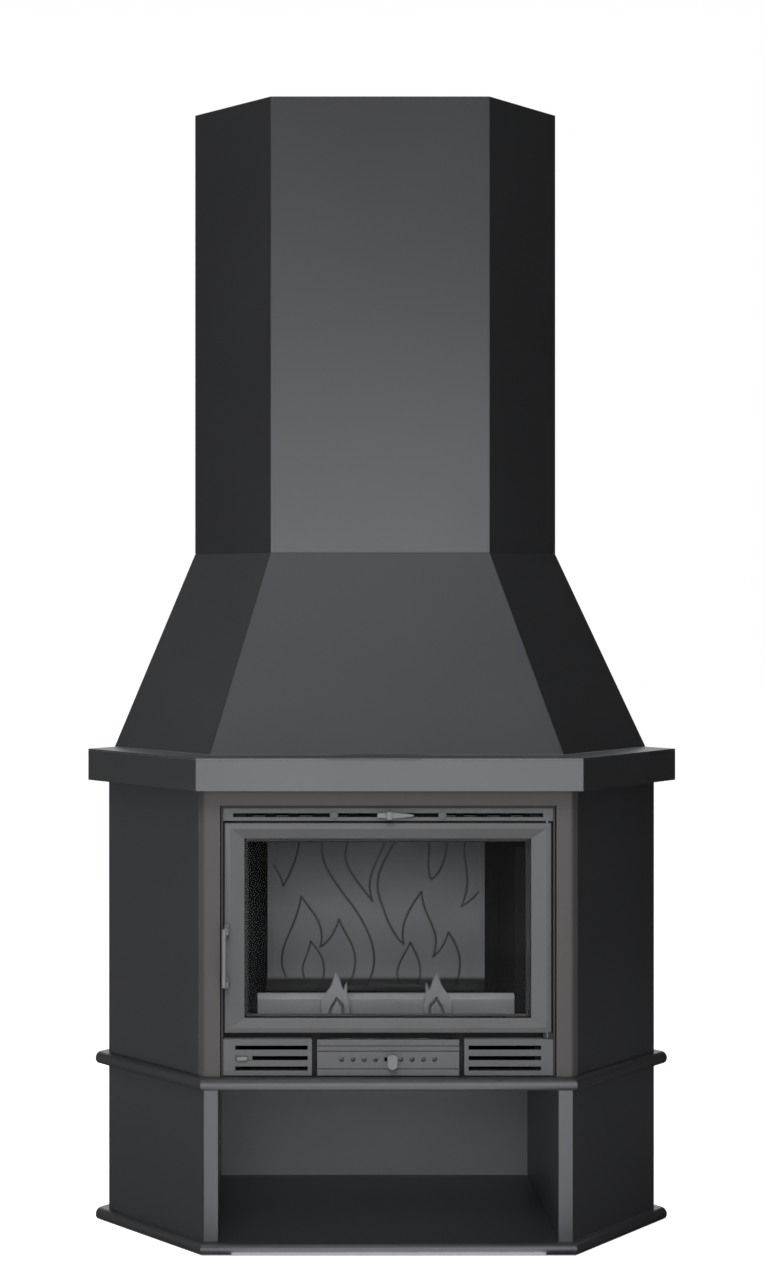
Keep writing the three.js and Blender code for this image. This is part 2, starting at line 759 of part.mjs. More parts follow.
const glassFront = frontInset + doorBevelDrop + glassThickness;
const glassSeat = glassLap + glassPlay;
const doorSection = [
  ["outer", 0, doorBack],
  ["outer", 0, frontInset + doorEdgeDrop + doorChamfer],
  ["outer", doorChamfer, frontInset + doorEdgeDrop],
  ["outer", doorRidge, frontInset],
  ["inner", 0, frontInset + doorBevelDrop],
  ["inner", 0, glassFront],
  ["inner", glassSeat, glassFront],
  ["inner", glassSeat, doorBack],
  ["outer", sealIn + sealWidth, doorBack],
  ["outer", sealIn + sealWidth, doorBack - sealGroove],
  ["outer", sealIn, doorBack - sealGroove],
  ["outer", sealIn, doorBack],
];
const handleLug = (z0, z1) =>
  box(
    -doorHalf + fit,
    -handlePinX + armOuter,
    handlePinInset - lugHeight + past,
    frontInset + doorEdgeDrop + hookThickness,
    z0,
    z1,
  );
const pinHole = (z0, z1) => roundZ(handlePinRadius + pinPlay, -handlePinX, handlePinInset, z0, z1, 16);
const hookNotch = box(
  -pocketHalf - lugHeight,
  -doorHalf + rimWall,
  frontInset - past,
  doorBack + past,
  hookLow - hookPlay,
  hookHigh + hookPlay,
);
add(
  "door_frame",
  cut(
    join(
      mitredFrame(doorSection, doorHalf, doorLow, doorHigh, doorRails),
      handleLug(barHigh + fit, barHigh + fit + lugHeight),
      handleLug(barLow - fit - lugHeight, barLow - fit),
    ),
    roundZ(pinBore, hingeX, hingeY, doorHigh - hingePinReach - past, doorHigh + past),
    roundZ(pinBore, hingeX, hingeY, doorLow - past, doorLow + hingePinReach + past),
    pinHole(barHigh, barHigh + lugHeight + past),
    pinHole(barLow - lugHeight - past, barLow),
    hookNotch,
  ),
  castIron,
);

const glassHalf = doorHalf - doorStile + glassLap;
const glassLow = doorLow + doorBottomRail - glassLap;
const glassHigh = doorHigh - doorTopRail + glassLap;
const glassBack = glassFront + fit + glassThickness;
add("door_glass", wide(glassHalf, glassFront + fit, glassBack, glassLow, glassHigh), clearGlass);

const sealFront = doorBack - sealGroove + fit;
const sealBack = frameFront - fit;
const sealOut = sealIn + fit;
const sealEnd = sealIn + sealWidth - fit;
const sealSection = [
  ["outer", sealOut, sealFront + sealSlope],
  ["outer", sealOut + sealSlope, sealFront],
  ["outer", sealEnd - sealSlope, sealFront],
  ["outer", sealEnd, sealFront + sealSlope],
  ["outer", sealEnd, sealBack - sealSlope],
  ["outer", sealEnd - sealSlope, sealBack],
  ["outer", sealOut + sealSlope, sealBack],
  ["outer", sealOut, sealBack - sealSlope],
];
add("door_seal", mitredFrame(sealSection, doorHalf, doorLow, doorHigh, doorRails), rope);

// Angle strips screwed behind the door that press the glass forward.
const strip = { lap: 6, sheet: 2, foot: 4, landing: 5, ends: 12 };
const angleBack = doorBack + fit + strip.sheet;
function glassStrip(edge, towards) {
  const glassEdge = edge - towards * strip.lap;
  const seat = edge + towards * (glassLap + strip.landing);
  const points = [
    [glassBack + fit, glassEdge],
    [angleBack, glassEdge],
    [angleBack, seat],
    [doorBack + fit, seat],
    [doorBack + fit, glassEdge + towards * strip.foot],
    [glassBack + fit, glassEdge + towards * strip.foot],
  ];
  return railAlongX(points, -glassHalf + strip.ends, glassHalf - strip.ends);
}
add("glass_strip_top", glassStrip(doorHigh - doorTopRail, 1), bareSteel);
add("glass_strip_bottom", glassStrip(doorLow + doorBottomRail, -1), bareSteel);

const hingePin = (z0, z1) => roundZ(hingePinRadius, hingeX, hingeY, z0, z1);
add("hinge_pin_top", hingePin(doorHigh - hingePinReach, upperLugLow + hingeLug - fit), bareSteel);
add("hinge_pin_bottom", hingePin(lowerLugLow, doorLow + hingePinReach), bareSteel);

// ---- Door handle: a grip on two arms, turning on two pins, with the latch hook cast on ----
const knuckle = (z0, z1) => roundZ(knuckleRadius, -handlePinX, handlePinInset, z0, z1);
const arm = (z0, z1) =>
  box(-handlePinX - armOuter, -handlePinX + armInner, handleBarInset, handlePinInset, z0, z1);
const hookLeft = -pocketHalf + hookClear;
const hookOutline = [
  [hookLeft, handlePinInset],
  [hookLeft + hookThickness, handlePinInset],
  [hookLeft + hookThickness, hookEnd],
  [hookLeft - hookBarb, hookEnd],
  [hookLeft - hookBarb, hookStep],
  [hookLeft, hookStep - hookBarb],
];
const pinInKnuckle = knuckleHeight - 3 * past;
add(
  "door_handle",
  cut(
    join(
      roundZ(handleBarRadius, -doorHalf - handleBarOut, handleBarInset, barLow, barHigh),
      arm(barLow + past, barLow + past + armHeight),
      arm(barHigh - past - armHeight, barHigh - past),
      knuckle(barLow, barLow + knuckleHeight),
      knuckle(barHigh - knuckleHeight, barHigh),
      prism(hookOutline, hookLow, hookHigh),
    ),
    pinHole(barHigh - pinInKnuckle - past, barHigh + past),
    pinHole(barLow - past, barLow + pinInKnuckle + past),
  ),
  castIron,
);
const handlePin = (z0, z1) => roundZ(handlePinRadius, -handlePinX, handlePinInset, z0, z1, 16);
add("handle_pin_top", handlePin(barHigh - pinInKnuckle, barHigh + lugHeight), bareSteel);
add("handle_pin_bottom", handlePin(barLow - lugHeight, barLow + pinInKnuckle), bareSteel);

// ---- Lower grilles and the tab in the left one's middle slot ----
const panelBack = frontInset + panelThickness;
const slotLevels = [0, 1, 2].map((n) => shelfTop + slotFirst + n * slotRise);
const throughPanel = (x0, x1, z, half) =>
  box(x0, x1, frontInset - past, panelBack + past, z - half, z + half);
function grille() {
  const shell = box(grilleInner, pocketHalf - fit, frontInset, frameFront - fit, panelLow, panelTop);
  const hollow = box(
    grilleInner + panelWall,
    pocketHalf - fit - panelWall,
    panelBack,
    frameFront + past,
    panelLow + panelWall,
    panelTop - panelWall,
  );
  const slots = slotLevels.map((z) => throughPanel(slotInner, slotOuter, z, slotHeight / 2));
  return cut(shell, hollow, ...slots);
}
addPair("grille", grille(), castIron);

const tabX = -slotOuter + tabIn;
const tabMiddle = slotLevels[1];
const tabHalf = slotHeight / 2 - 2 * fit;
const tabPlate = { front: panelBack + fit, back: panelBack + fit + casingSheet };
const tabReach = frontInset - rimWall;
add(
  "grille_tab",
  join(
    box(
      tabX - tabWidth,
      tabX + tabWidth,
      tabPlate.front,
      tabPlate.back,
      tabMiddle - tabPlateHeight / 2,
      tabMiddle + tabPlateHeight / 2,
    ),
    box(
      tabX - tabWidth / 2,
      tabX + tabWidth / 2,
      tabReach,
      tabPlate.front + past,
      tabMiddle - tabHalf,
      tabMiddle + tabHalf,
    ),
  ),
  castIron,
);

// ---- Ash drawer with the primary-air slider ----
const holeLevel = shelfTop + holeUp;
const holeCentres = Array.from({ length: holesPerSide }, (_, i) => holeFirst + i * holePitch);
const airPlateFront = panelBack + fit;
const airPlateBack = airPlateFront + sliderThickness;
const airHoles = holeCentres.flatMap((centre) =>
  [centre, -centre].map((x) =>
    roundY(holeRadius, x, holeLevel, frontInset - past, airPlateBack + past, 16),
  ),
);
const airPlateHalf = holeCentres.at(-1) + holeRadius + airPlateWall;
const airPlateLow = holeLevel - airPlateHeight / 2;
const airPlateHigh = holeLevel + airPlateHeight / 2;
const guideHalf = airPlateHalf + airTravel;
const guideBack = airPlateBack + fit + casingSheet;
const groove = (z) =>
  railAlongX(
    [
      [frontInset - past, z - grooveHalf],
      [frontInset + grooveDepth, z],
      [frontInset - past, z + grooveHalf],
    ],
    -drawerHalf - past,
    drawerHalf + past,
  );
const guide = (edge, towards) => {
  const near = edge + towards * fit;
  const far = near + towards * guideHeight;
  const hook = edge - towards * guideHook;
  const points = [
    [panelBack - past, near],
    [airPlateBack + fit, near],
    [airPlateBack + fit, hook],
    [guideBack, hook],
    [guideBack, far],
    [panelBack - past, far],
  ];
  return railAlongX(points, -guideHalf, guideHalf);
};
const panFront = panelBack + panGap;
const panLow = shelfTop + floorPlate + 2 * fit;
const bracketHigh = panLow + panHeight - panSheet;
const bracket = (x) => box(x, x + bracketWidth, panelBack - past, panFront - fit, panLow, bracketHigh);
const stemRoom = stemRadius + past;
add(
  "ash_drawer_front",
  join(
    cut(
      wide(drawerHalf, frontInset, panelBack, panelLow, panelTop - fit),
      ...airHoles,
      throughPanel(airKnobX - airTravel - stemRoom, airKnobX + stemRoom, holeLevel, stemRoom),
      ...grooveLevels.map((up) => groove(shelfTop + up)),
    ),
    guide(airPlateHigh, 1),
    guide(airPlateLow, -1),
    bracket(guideHalf + fit),
    bracket(-guideHalf - fit - bracketWidth),
  ),
  castIron,
);
const stemHole = roundY(
  stemRadius + fit,
  airKnobX,
  holeLevel,
  airPlateFront - past,
  airPlateBack + past,
  16,
);
add(
  "air_slider",
  cut(
    wide(airPlateHalf, airPlateFront, airPlateBack, airPlateLow, airPlateHigh),
    ...airHoles,
    stemHole,
  ),
  bareSteel,
);

// The knob is a tongue with a round foot on a stem that runs through the slider.
function tongue() {
  const half = knobWidth / 2;
  const low = holeLevel - knobDrop - knobHeight / 2;
  const high = low + knobHeight;
  const shape = new THREE.Shape();
  shape.moveTo(airKnobX - half, low + half);
  shape.absarc(airKnobX, low + half, half, Math.PI, 2 * Math.PI, false);
  shape.lineTo(airKnobX + half, high - knobChamfer);
  shape.lineTo(airKnobX + half - knobChamfer, high);
  shape.lineTo(airKnobX - half + knobChamfer, high);
  shape.lineTo(airKnobX - half, high - knobChamfer);
  return shape;
}
const knobBack = frontInset - grooveDepth;
add(
  "air_knob",
  join(
    frontPlate(tongue(), knobBack - knobThickness, knobBack),
    roundY(stemRadius, airKnobX, holeLevel, knobBack - past, airPlateBack, 16),
  ),
  castIron,
);

const panBack = panFront + panDepth;
const panHigh = panLow + panHeight;
add(
  "ash_pan",
  cut(
    wide(panHalf, panFront, panBack, panLow, panHigh),
    wide(panHalf - panSheet, panFront + panSheet, panBack - panSheet, panLow + panSheet, panHigh + past),
  ),
  zincSheet,
);

// ---- Firebox plates ----
const plateEnd = boxBack - wallPlate - fit; // where the inner plates meet the firebox's back
add(
  "ash_floor",
  wide(panHalf + floorMargin, boxFront, plateEnd, shelfTop + fit, shelfTop + floorPlate),
  fireIron,
);
const grateStart = boxFront + grateFront;
const grateEnd = grateStart + grateDepth;
const hearthLow = hearth - hearthPlate;
const grateHole = (half, inside, low) =>
  wide(half, grateStart + inside, grateEnd - inside, low, hearth + past);
add(
  "firebox_base",
  cut(
    wide(wallInner - fit, boxFront, plateEnd, hearthLow, hearth),
    grateHole(grateHalf, 0, hearth - grateThickness),
    grateHole(grateHalf - grateLedge, grateLedge, hearthLow - past),
  ),
  fireIron,
);
addPair("firebox_side", box(wallInner, wallHalf, boxFront, boxBack, shelfTop + fit, roof), fireIron);
add("firebox_back", wide(wallInner - fit, boxBack - wallPlate, boxBack, shelfTop + fit, roof), fireIron);
add(
  "firebox_top",
  cut(
    wide(wallHalf, boxFront, boxBack, roof + fit, roof + roofPlate),
    roundZ(flueBore, 0, collarInset, roof - past, roof + roofPlate + past, 32),
  ),
  fireIron,
);

const firebackFront = plateEnd - firebackThickness;
const firebackHalf = linerInner - linerChamfer;
const linerOuter = linerInner + linerThickness;
const linerFront = retainerInset + retainerThickness + fit;
const hearthRest = hearth + fit;
addPair(
  "side_liner",
  prism(
    [
      [linerInner, linerFront],
      [linerOuter, linerFront],
      [linerOuter, plateEnd],
      [firebackHalf + fit, plateEnd],
      [firebackHalf + fit, firebackFront],
      [linerInner, firebackFront - linerChamfer],
    ],
    hearthRest,
    hearthRest + linerHeight,
  ),
  fireIron,
);
const linerTop = hearthRest + linerHeight;
add("fireback", wide(firebackHalf, firebackFront, plateEnd, hearthRest, linerTop), fireIron);
const baffleLow = linerTop + fit;
add(
  "smoke_baffle",
  wide(wallInner - fit, plateEnd - baffleDepth, plateEnd, baffleLow, baffleLow + baffleThickness),
  fireIron,
);

const grateSpan = 2 * (grateHalf - grateLedge);
const grateGap = (grateSpan - (grateSlots + 1) * grateBar) / grateSlots;
const grateSlotList = Array.from({ length: grateSlots }, (_, i) => {
  const x = -grateSpan / 2 + grateBar + i * (grateBar + grateGap);
  const end = grateLedge + grateRim;
  return box(x, x + grateGap, grateStart + end, grateEnd - end, hearthLow, hearth + past);
});
const gratePlate = wide(
  grateHalf - gratePlay,
  grateStart + gratePlay,
  grateEnd - gratePlay,
  hearth - grateThickness + fit,
  hearth,
);
add("grate", cut(gratePlate, ...grateSlotList), fireIron);

// ---- Log retainer and its two flame-shaped andirons ----
const retainerHalf = linerInner - retainerEnd;
const retainerBack = retainerInset + retainerThickness;
const retainerTop = hearthRest + retainerHeight;
add(
  "log_retainer",
  railAlongX(
    [
      [retainerInset, hearthRest],
      [retainerBack, hearthRest],
      [retainerBack, retainerTop],
      [retainerInset + retainerBevel, retainerTop],
      [retainerInset, retainerTop - retainerBevel],
    ],
    -retainerHalf,
    retainerHalf,
  ),
  fireIron,
);

// A flame tongue that leans inwards, with a short prong on its inner side. Its curves are given in
// hundredths of its height: two handles and an end point each.
function flame(x) {
  const unit = andironHeight / 100;
  const place = ([across, up]) => [x + across * unit, hearthRest + up * unit];
  const curves = [
    [[27, 14], [32, 26], [31, 40]],
    [[30, 54], [14, 62], [9, 78]],
    [[6, 86], [4, 92], [3, 100]],
    [[-3, 94], [-7, 86], [-9, 78]],
    [[-10, 73], [-12, 69], [-14, 66]],
    [[-15, 70], [-17, 75], [-20, 80]],
    [[-22, 70], [-19, 62], [-22, 50]],
    [[-28, 36], [-26, 14], [-20, 0]],
  ];
  const shape = new THREE.Shape();
  shape.moveTo(...place([-20, 0]));
  shape.lineTo(...place([21, 0]));
  curves.forEach((curve) => shape.bezierCurveTo(...curve.flatMap(place)));
  return shape;
}
const andironBack = retainerInset - fit;
const andironFront = andironBack - andironThickness;
addPair(
  "andiron",
  join(
    frontPlate(flame(andironX), andironFront, andironBack),
    box(
      andironX - andironHook,
      andironX + andironHook,
      andironBack - past,
      retainerBack - past,
      retainerTop + fit,
      retainerTop + andironHook,
    ),
  ),
  fireIron,
);

// ---- Flue: collar, double bend and upright pipe ----
const flangeLow = roof + roofPlate + fit;
const flangeHigh = flangeLow + collarFoot;
const collarTop = flangeLow + collarHeight;
add(
  "flue_collar",
  turned(
    [
      [flueBore, flangeLow],
      [collarFlange, flangeLow],
      [collarFlange, flangeHigh],
      [collarBore + collarWall, flangeHigh],
      [collarBore + collarWall, collarTop],
      [collarBore, collarTop],
      [collarBore, flangeHigh],
      [flueBore, flangeHigh],
    ],
    0,
    collarInset,
  ),
  castIron,
);

const bendPath = new THREE.CurvePath();
const low = new THREE.Vector3(0, collarInset, flangeHigh + fit);
const lowTurn = low.clone().setZ(mantelBottom + bendStraight);
const high = new THREE.Vector3(0, flueAxisInset, hoodTop);
const highTurn = high.clone().setZ(hoodTop - bendStraight);
const rise = (highTurn.z - lowTurn.z) * bendEase;
const sweep = new THREE.CubicBezierCurve3(
  lowTurn,
  lowTurn.clone().setZ(lowTurn.z + rise),
  highTurn.clone().setZ(highTurn.z - rise),
  highTurn,
);
bendPath.add(new THREE.LineCurve3(low, lowTurn));
bendPath.add(sweep);
bendPath.add(new THREE.LineCurve3(highTurn, high));
const pipeSection = new THREE.Shape().absarc(0, 0, bendRadius, 0, 2 * Math.PI, false);
pipeSection.holes.push(new THREE.Path().absarc(0, 0, flueBore, 0, 2 * Math.PI, true));
add(
  "flue_bend",
  new THREE.ExtrudeGeometry(pipeSection, { extrudePath: bendPath, steps: 30, curveSegments: 12 }),
  castIron,
);
const pipeBore = bendRadius + 1.5 * fit;
add(
  "flue_pipe",
  turned(
    [
      [pipeBore, hoodTop - flueLap],
      [pipeBore + flueWall, hoodTop - flueLap],
      [pipeBore + flueWall, flueTop - fit],
      [pipeBore, flueTop - fit],
    ],
    0,
    flueAxisInset,
    32,
  ),
  castIron,
);

// The origin lies on the floor under the middle of the model's box.
group.position.y = -(cornerDepth - cornerFlat) / 2;

export default group;
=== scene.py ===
# %% [markdown]
# # A corner fireplace
# The object is a sheet-steel casing that fills a room corner. It carries a glazed cast-iron
# insert between a log niche and a mantel, with a tapered hood and a flue box above. The packed
# model already holds every piece at its real size, so this notebook only dresses it: finishes,
# soot, softened edges, cast relief, a laid rope, finer flue pieces, a lens and a small studio.
# X runs to the right, Y back into the corner and Z up. Blender's own lengths are metres; shapes
# are drawn in millimetres and multiplied by mm.

# %% The frame
import json
import math

import bmesh
import bpy
import numpy as np
from mathutils import Matrix, Vector


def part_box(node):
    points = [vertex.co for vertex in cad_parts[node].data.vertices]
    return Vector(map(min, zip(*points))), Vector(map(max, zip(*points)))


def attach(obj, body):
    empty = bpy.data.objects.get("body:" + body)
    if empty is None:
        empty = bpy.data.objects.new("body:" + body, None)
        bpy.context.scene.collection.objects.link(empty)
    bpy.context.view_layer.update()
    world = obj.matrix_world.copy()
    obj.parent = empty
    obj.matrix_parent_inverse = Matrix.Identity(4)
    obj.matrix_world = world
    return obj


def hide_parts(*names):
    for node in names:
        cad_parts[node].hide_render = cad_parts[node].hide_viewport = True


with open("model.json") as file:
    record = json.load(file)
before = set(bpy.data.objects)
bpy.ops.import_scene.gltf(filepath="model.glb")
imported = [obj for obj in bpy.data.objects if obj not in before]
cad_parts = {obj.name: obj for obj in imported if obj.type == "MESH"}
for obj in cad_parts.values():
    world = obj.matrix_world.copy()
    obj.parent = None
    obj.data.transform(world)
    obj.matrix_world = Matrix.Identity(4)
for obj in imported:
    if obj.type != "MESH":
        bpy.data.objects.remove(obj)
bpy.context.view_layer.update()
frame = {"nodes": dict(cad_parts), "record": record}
mm = 0.001

# %% [markdown]

# %% [markdown]
# ## The lens
# The photograph was taken a little to the left of the fireplace, at chest height, with the
# camera held level. A level camera keeps upright edges upright, and the framing is then slid
# sideways with the lens shift, as an architectural photographer does. The distance comes from
# how much the set-back flue box shrinks against the mantel.

# %% The camera
camera_place = (-0.257, -4.022, 1.270)
frame_height_px = 1282
focal_px = 1918  # the focal length, counted in the picture's pixels
axis_px = (254, 591)  # where the lens axis meets the 764 x 1282 picture
picture_middle_px = (382, 641)
sensor = 36  # mm

lens = bpy.data.cameras.new("photo_lens")
lens.sensor_fit = "AUTO"
lens.sensor_width = sensor
lens.lens = focal_px / frame_height_px * sensor
lens.shift_x = (picture_middle_px[0] - axis_px[0]) / frame_height_px
lens.shift_y = (axis_px[1] - picture_middle_px[1]) / frame_height_px
camera = bpy.data.objects.new("photo_camera", lens)
camera.location = camera_place
camera.rotation_euler = (math.pi / 2, 0, 0)
bpy.context.scene.collection.objects.link(camera)
bpy.context.scene.camera = camera
print("lens:", round(lens.lens, 1), "mm, shift", round(lens.shift_x, 3), round(lens.shift_y, 3))

# %% [markdown]
# ## Finishes
# Every finish here is one Principled shader whose colour, roughness and bump come from noise at
# the scale of the real surface. A painted steel sheet has an orange peel of about a millimetre
# and faint, wide changes of tone; a sand casting has grains of two or three millimetres. The
# helper below builds that pattern once, and each finish then only states its own numbers. What
# is the same all over, such as the metal share, is set straight on the shader. First come three
# small tools: one adds a node, one lays noise over the object, one spreads it over a range.

# %% Tools for shader nodes
colour_a, colour_b, colour_out = 6, 7, 2  # where a Mix node keeps its colour sockets


def node(tree, kind, **values):
    """A new node, with each value set on the socket or the property of that name."""
    made = tree.nodes.new(kind)
    for key, value in values.items():
        if key in made.inputs:
            made.inputs[key].default_value = value
        else:
            setattr(made, key, value)
    return made


def noise(tree, scale, detail=3.0, stretch=(1, 1, 1)):
    """Noise in object space, with its grain size set by scale in turns per metre."""
    place = node(tree, "ShaderNodeTexCoord")
    turn = node(tree, "ShaderNodeMapping")
    turn.inputs["Scale"].default_value = stretch
    pattern = node(tree, "ShaderNodeTexNoise", Scale=scale, Detail=detail)
    tree.links.new(place.outputs["Object"], turn.inputs["Vector"])
    tree.links.new(turn.outputs["Vector"], pattern.inputs["Vector"])
    return pattern.outputs["Fac"]


def spread(tree, source, low, high):
    """The noise, which mostly lies between 0.3 and 0.7, stretched to run from low to high."""
    ramp = node(tree, "ShaderNodeMapRange")
    ramp.inputs["From Min"].default_value = 0.3
    ramp.inputs["From Max"].default_value = 0.7
    ramp.inputs["To Min"].default_value = low
    ramp.inputs["To Max"].default_value = high
    tree.links.new(source, ramp.inputs["Value"])
    return ramp.outputs["Result"]


print("node tools ready")

# %% [markdown]
# A finish has a light and a dark tone of its colour. A wide noise and a fine one, in nearly equal
# shares, choose between them and also move the roughness a little, so a patch that is lighter
# is a touch rougher too. The fine noise alone raises the surface, through the bump.

# %% A helper for textured finishes
fine_share, wide_share = 0.45, 0.55
rough_swing = 0.05


def finish(name, light, dark, rough, grain, depth, metal=0.0, tone=4.0, specular=0.5,
           stretch=(1, 1, 1)):
    """A textured finish. Grain and tone are in turns per metre, and depth is the bump in metres."""
    material = bpy.data.materials.new(name)
    material.use_nodes = True
    tree = material.node_tree
    shader = tree.nodes["Principled BSDF"]
    shader.inputs["Metallic"].default_value = metal
    shader.inputs["Specular IOR Level"].default_value = specular
    wide = noise(tree, tone, 4.0, stretch)
    fine = noise(tree, grain, 2.0, stretch)
    both = node(tree, "ShaderNodeMath", operation="MULTIPLY_ADD")
    both.inputs[1].default_value = fine_share
    tree.links.new(fine, both.inputs[0])
    part = node(tree, "ShaderNodeMath", operation="MULTIPLY")
    part.inputs[1].default_value = wide_share
    tree.links.new(wide, part.inputs[0])
    tree.links.new(part.outputs[0], both.inputs[2])
    colour = node(tree, "ShaderNodeMix", data_type="RGBA")
    colour.inputs[colour_a].default_value = (*dark, 1)
    colour.inputs[colour_b].default_value = (*light, 1)
    tree.links.new(spread(tree, both.outputs[0], 0, 1), colour.inputs["Factor"])
    tree.links.new(colour.outputs[colour_out], shader.inputs["Base Color"])
    roughness = spread(tree, both.outputs[0], rough - rough_swing, rough + rough_swing)
    tree.links.new(roughness, shader.inputs["Roughness"])
    bump = node(tree, "ShaderNodeBump", Strength=1.0, Distance=depth)
    tree.links.new(fine, bump.inputs["Height"])
    tree.links.new(bump.outputs["Normal"], shader.inputs["Normal"])
    return material


print("finish helper ready")

# %% [markdown]
# The casing is sprayed with a dark satin paint that holds metal flakes, so it mirrors what stands
# in front of it in a soft way and goes nearly black where it faces the dark side of the room. A
# high metal share with a middling roughness does that. The hood leans back into the light, so its
# paint is written a shade darker. The niche's back wall is the same paint with little metal, so it
# is matt and reads lighter than the shade deep in the niche would leave it: painted light. The
# surround round the insert is a warmer grey, and the flue inside is black enamel.

# %% The painted sheets
casing_paint = finish("casing_paint", (0.238, 0.244, 0.258), (0.222, 0.227, 0.241),
                      rough=0.47, grain=900, depth=0.00003, metal=0.97)
hood_paint = finish("hood_paint", (0.212, 0.217, 0.230), (0.196, 0.201, 0.214),
                    rough=0.47, grain=900, depth=0.00003, metal=0.93)
# painted light: the niche's back wall gets little metal and a lighter dark tone, so it reads
# lighter in the niche's shade
niche_painted_light = finish("niche_painted_light", (0.240, 0.246, 0.258), (0.215, 0.221, 0.232),
                     rough=0.60, grain=900, depth=0.00003, metal=0.15)
surround_paint = finish("surround_paint", (0.122, 0.116, 0.114), (0.108, 0.104, 0.103),
                        rough=0.60, grain=700, depth=0.00005, metal=0.70)
flue_enamel = finish("flue_enamel", (0.030, 0.030, 0.033), (0.020, 0.020, 0.022),
                     rough=0.35, grain=300, depth=0.00004)
print("paints:", casing_paint.name, surround_paint.name, flue_enamel.name)

# %% [markdown]
# The insert is cast in sand and painted grey. Its grain is coarser than the sheet's and its tone
# wanders more. The knobs and the handle are rubbed brighter. The frame behind the door is written
# nearly black as painted shade, for the shade in the gap round the door. In the fire the iron is
# bare and rougher: the fireback is burnt to a pale grey and lightened further as painted light,
# because the lamps reach it less than the retainer, and the walls round it are black with soot and
# darker still as painted shade.

# %% The castings
insert_iron = finish("insert_iron", (0.091, 0.093, 0.098), (0.078, 0.080, 0.084),
                     rough=0.55, grain=420, depth=0.00008, metal=0.20, tone=9, specular=0.30)
worn_iron = finish("worn_iron", (0.190, 0.193, 0.200), (0.150, 0.153, 0.160),
                   rough=0.42, grain=420, depth=0.00006, metal=0.50, tone=30)
# painted shade: the rim is nearly black to stand for the shade in the gap round the door
gap_shade_iron = finish("gap_shade_iron", (0.030, 0.030, 0.032), (0.020, 0.020, 0.022),
                  rough=0.60, grain=420, depth=0.00008, tone=9, specular=0.25)
fire_iron = finish("fire_iron", (0.135, 0.136, 0.142), (0.108, 0.109, 0.114),
                   rough=0.62, grain=320, depth=0.00012, metal=0.20, tone=12, specular=0.30)
# burnt pale, and painted light: lighter than burnt iron alone, to lift the fireback and the firebox
# back out of shade
burnt_and_lit_plate_iron = finish("burnt_and_lit_plate_iron", (0.300, 0.304, 0.316), (0.240, 0.244, 0.254),
                    rough=0.65, grain=320, depth=0.00012, tone=12, specular=0.30)
# soot, and painted shade: near black so the shaded walls, baffle and sliders read as the shade
# round them
soot_and_shade_iron = finish("soot_and_shade_iron", (0.007, 0.007, 0.007), (0.004, 0.004, 0.004),
                    rough=0.80, grain=320, depth=0.00020, tone=12, specular=0.0)
print("castings:", insert_iron.name, fire_iron.name)

# %% [markdown]
# Zinc-coated sheet, plain steel and the rope are seen when the door or the drawer is open. The
# steel's grain is drawn out along X, as rolling leaves it. Blackened strips hold the glass.

# %% Zinc, steel and rope
zinc_sheet = finish("zinc_sheet", (0.50, 0.52, 0.54), (0.36, 0.38, 0.40),
                    rough=0.45, grain=160, depth=0.00003, metal=0.8, tone=45)
bare_steel = finish("bare_steel", (0.42, 0.42, 0.43), (0.30, 0.30, 0.31),
                    rough=0.35, grain=900, depth=0.00003, metal=1.0, tone=60, stretch=(0.08, 1, 1))
black_steel = finish("black_steel", (0.022, 0.022, 0.024), (0.014, 0.014, 0.016),
                     rough=0.55, grain=600, depth=0.00004, metal=0.3, tone=40)
rope_fibre = finish("rope_fibre", (0.42, 0.40, 0.37), (0.24, 0.23, 0.21),
                    rough=0.90, grain=1500, depth=0.00025, tone=120)
print("small finishes:", zinc_sheet.name, bare_steel.name, rope_fibre.name)

# %% [markdown]
# Soot gathers where the fire can reach and stays where nobody wipes. The same black also paints
# shade into hollows and holes. A mask says where the iron keeps its colour and where it is black,
# and the finish is then a copy of the first one with its colour drawn towards black. Masks are
# built from ramps along the object's own X, Y or Z.

# %% Tools for soot and painted shade
# the black of soot, also used for painted shade
soot_and_shade_black = (0.008, 0.008, 0.009, 1)


def ramp_between(tree, source, low, high):
    """A factor that goes from 0 to 1 while the source goes from low to high."""
    ramp = node(tree, "ShaderNodeMapRange")
    ramp.inputs["From Min"].default_value = low
    ramp.inputs["From Max"].default_value = high
    tree.links.new(source, ramp.inputs["Value"])
    return ramp.outputs["Result"]


def darkened_copy(name, clean, mask):
    """A copy of a finish, drawn towards black where the mask is 1, for soot and for painted shade.
    """
    material = clean.copy()
    material.name = name
    tree = material.node_tree
    shader = tree.nodes["Principled BSDF"]
    colour = shader.inputs["Base Color"].links[0].from_socket
    factor = mask(tree)
    mix = node(tree, "ShaderNodeMix", data_type="RGBA")
    mix.inputs[colour_b].default_value = soot_and_shade_black
    tree.links.new(factor, mix.inputs["Factor"])
    tree.links.new(colour, mix.inputs[colour_a])
    tree.links.new(mix.outputs[colour_out], shader.inputs["Base Color"])
    return material


def object_axis(tree, axis):
    """How far along the object's X, Y or Z the point lies, in metres."""
    place = node(tree, "ShaderNodeTexCoord")
    split = node(tree, "ShaderNodeSeparateXYZ")
    tree.links.new(place.outputs["Object"], split.inputs["Vector"])
    return split.outputs[axis]


print("soot is", soot_and_shade_black[:3])

# %% [markdown]
# The front frame is black with soot inside the line of the door's rope, and outside it keeps the
# rim's near-black painted shade. The ash drawer's face keeps its colour, but the walls of its air
# holes are drawn black as painted shade inside the holes: they start behind the face, so a ramp
# along Y finds them.

# %% Soot round the mouth, and painted shade in the air holes
hole_edge, hole_wall = 1.4 * mm, 2.0 * mm  # behind the drawer's front face


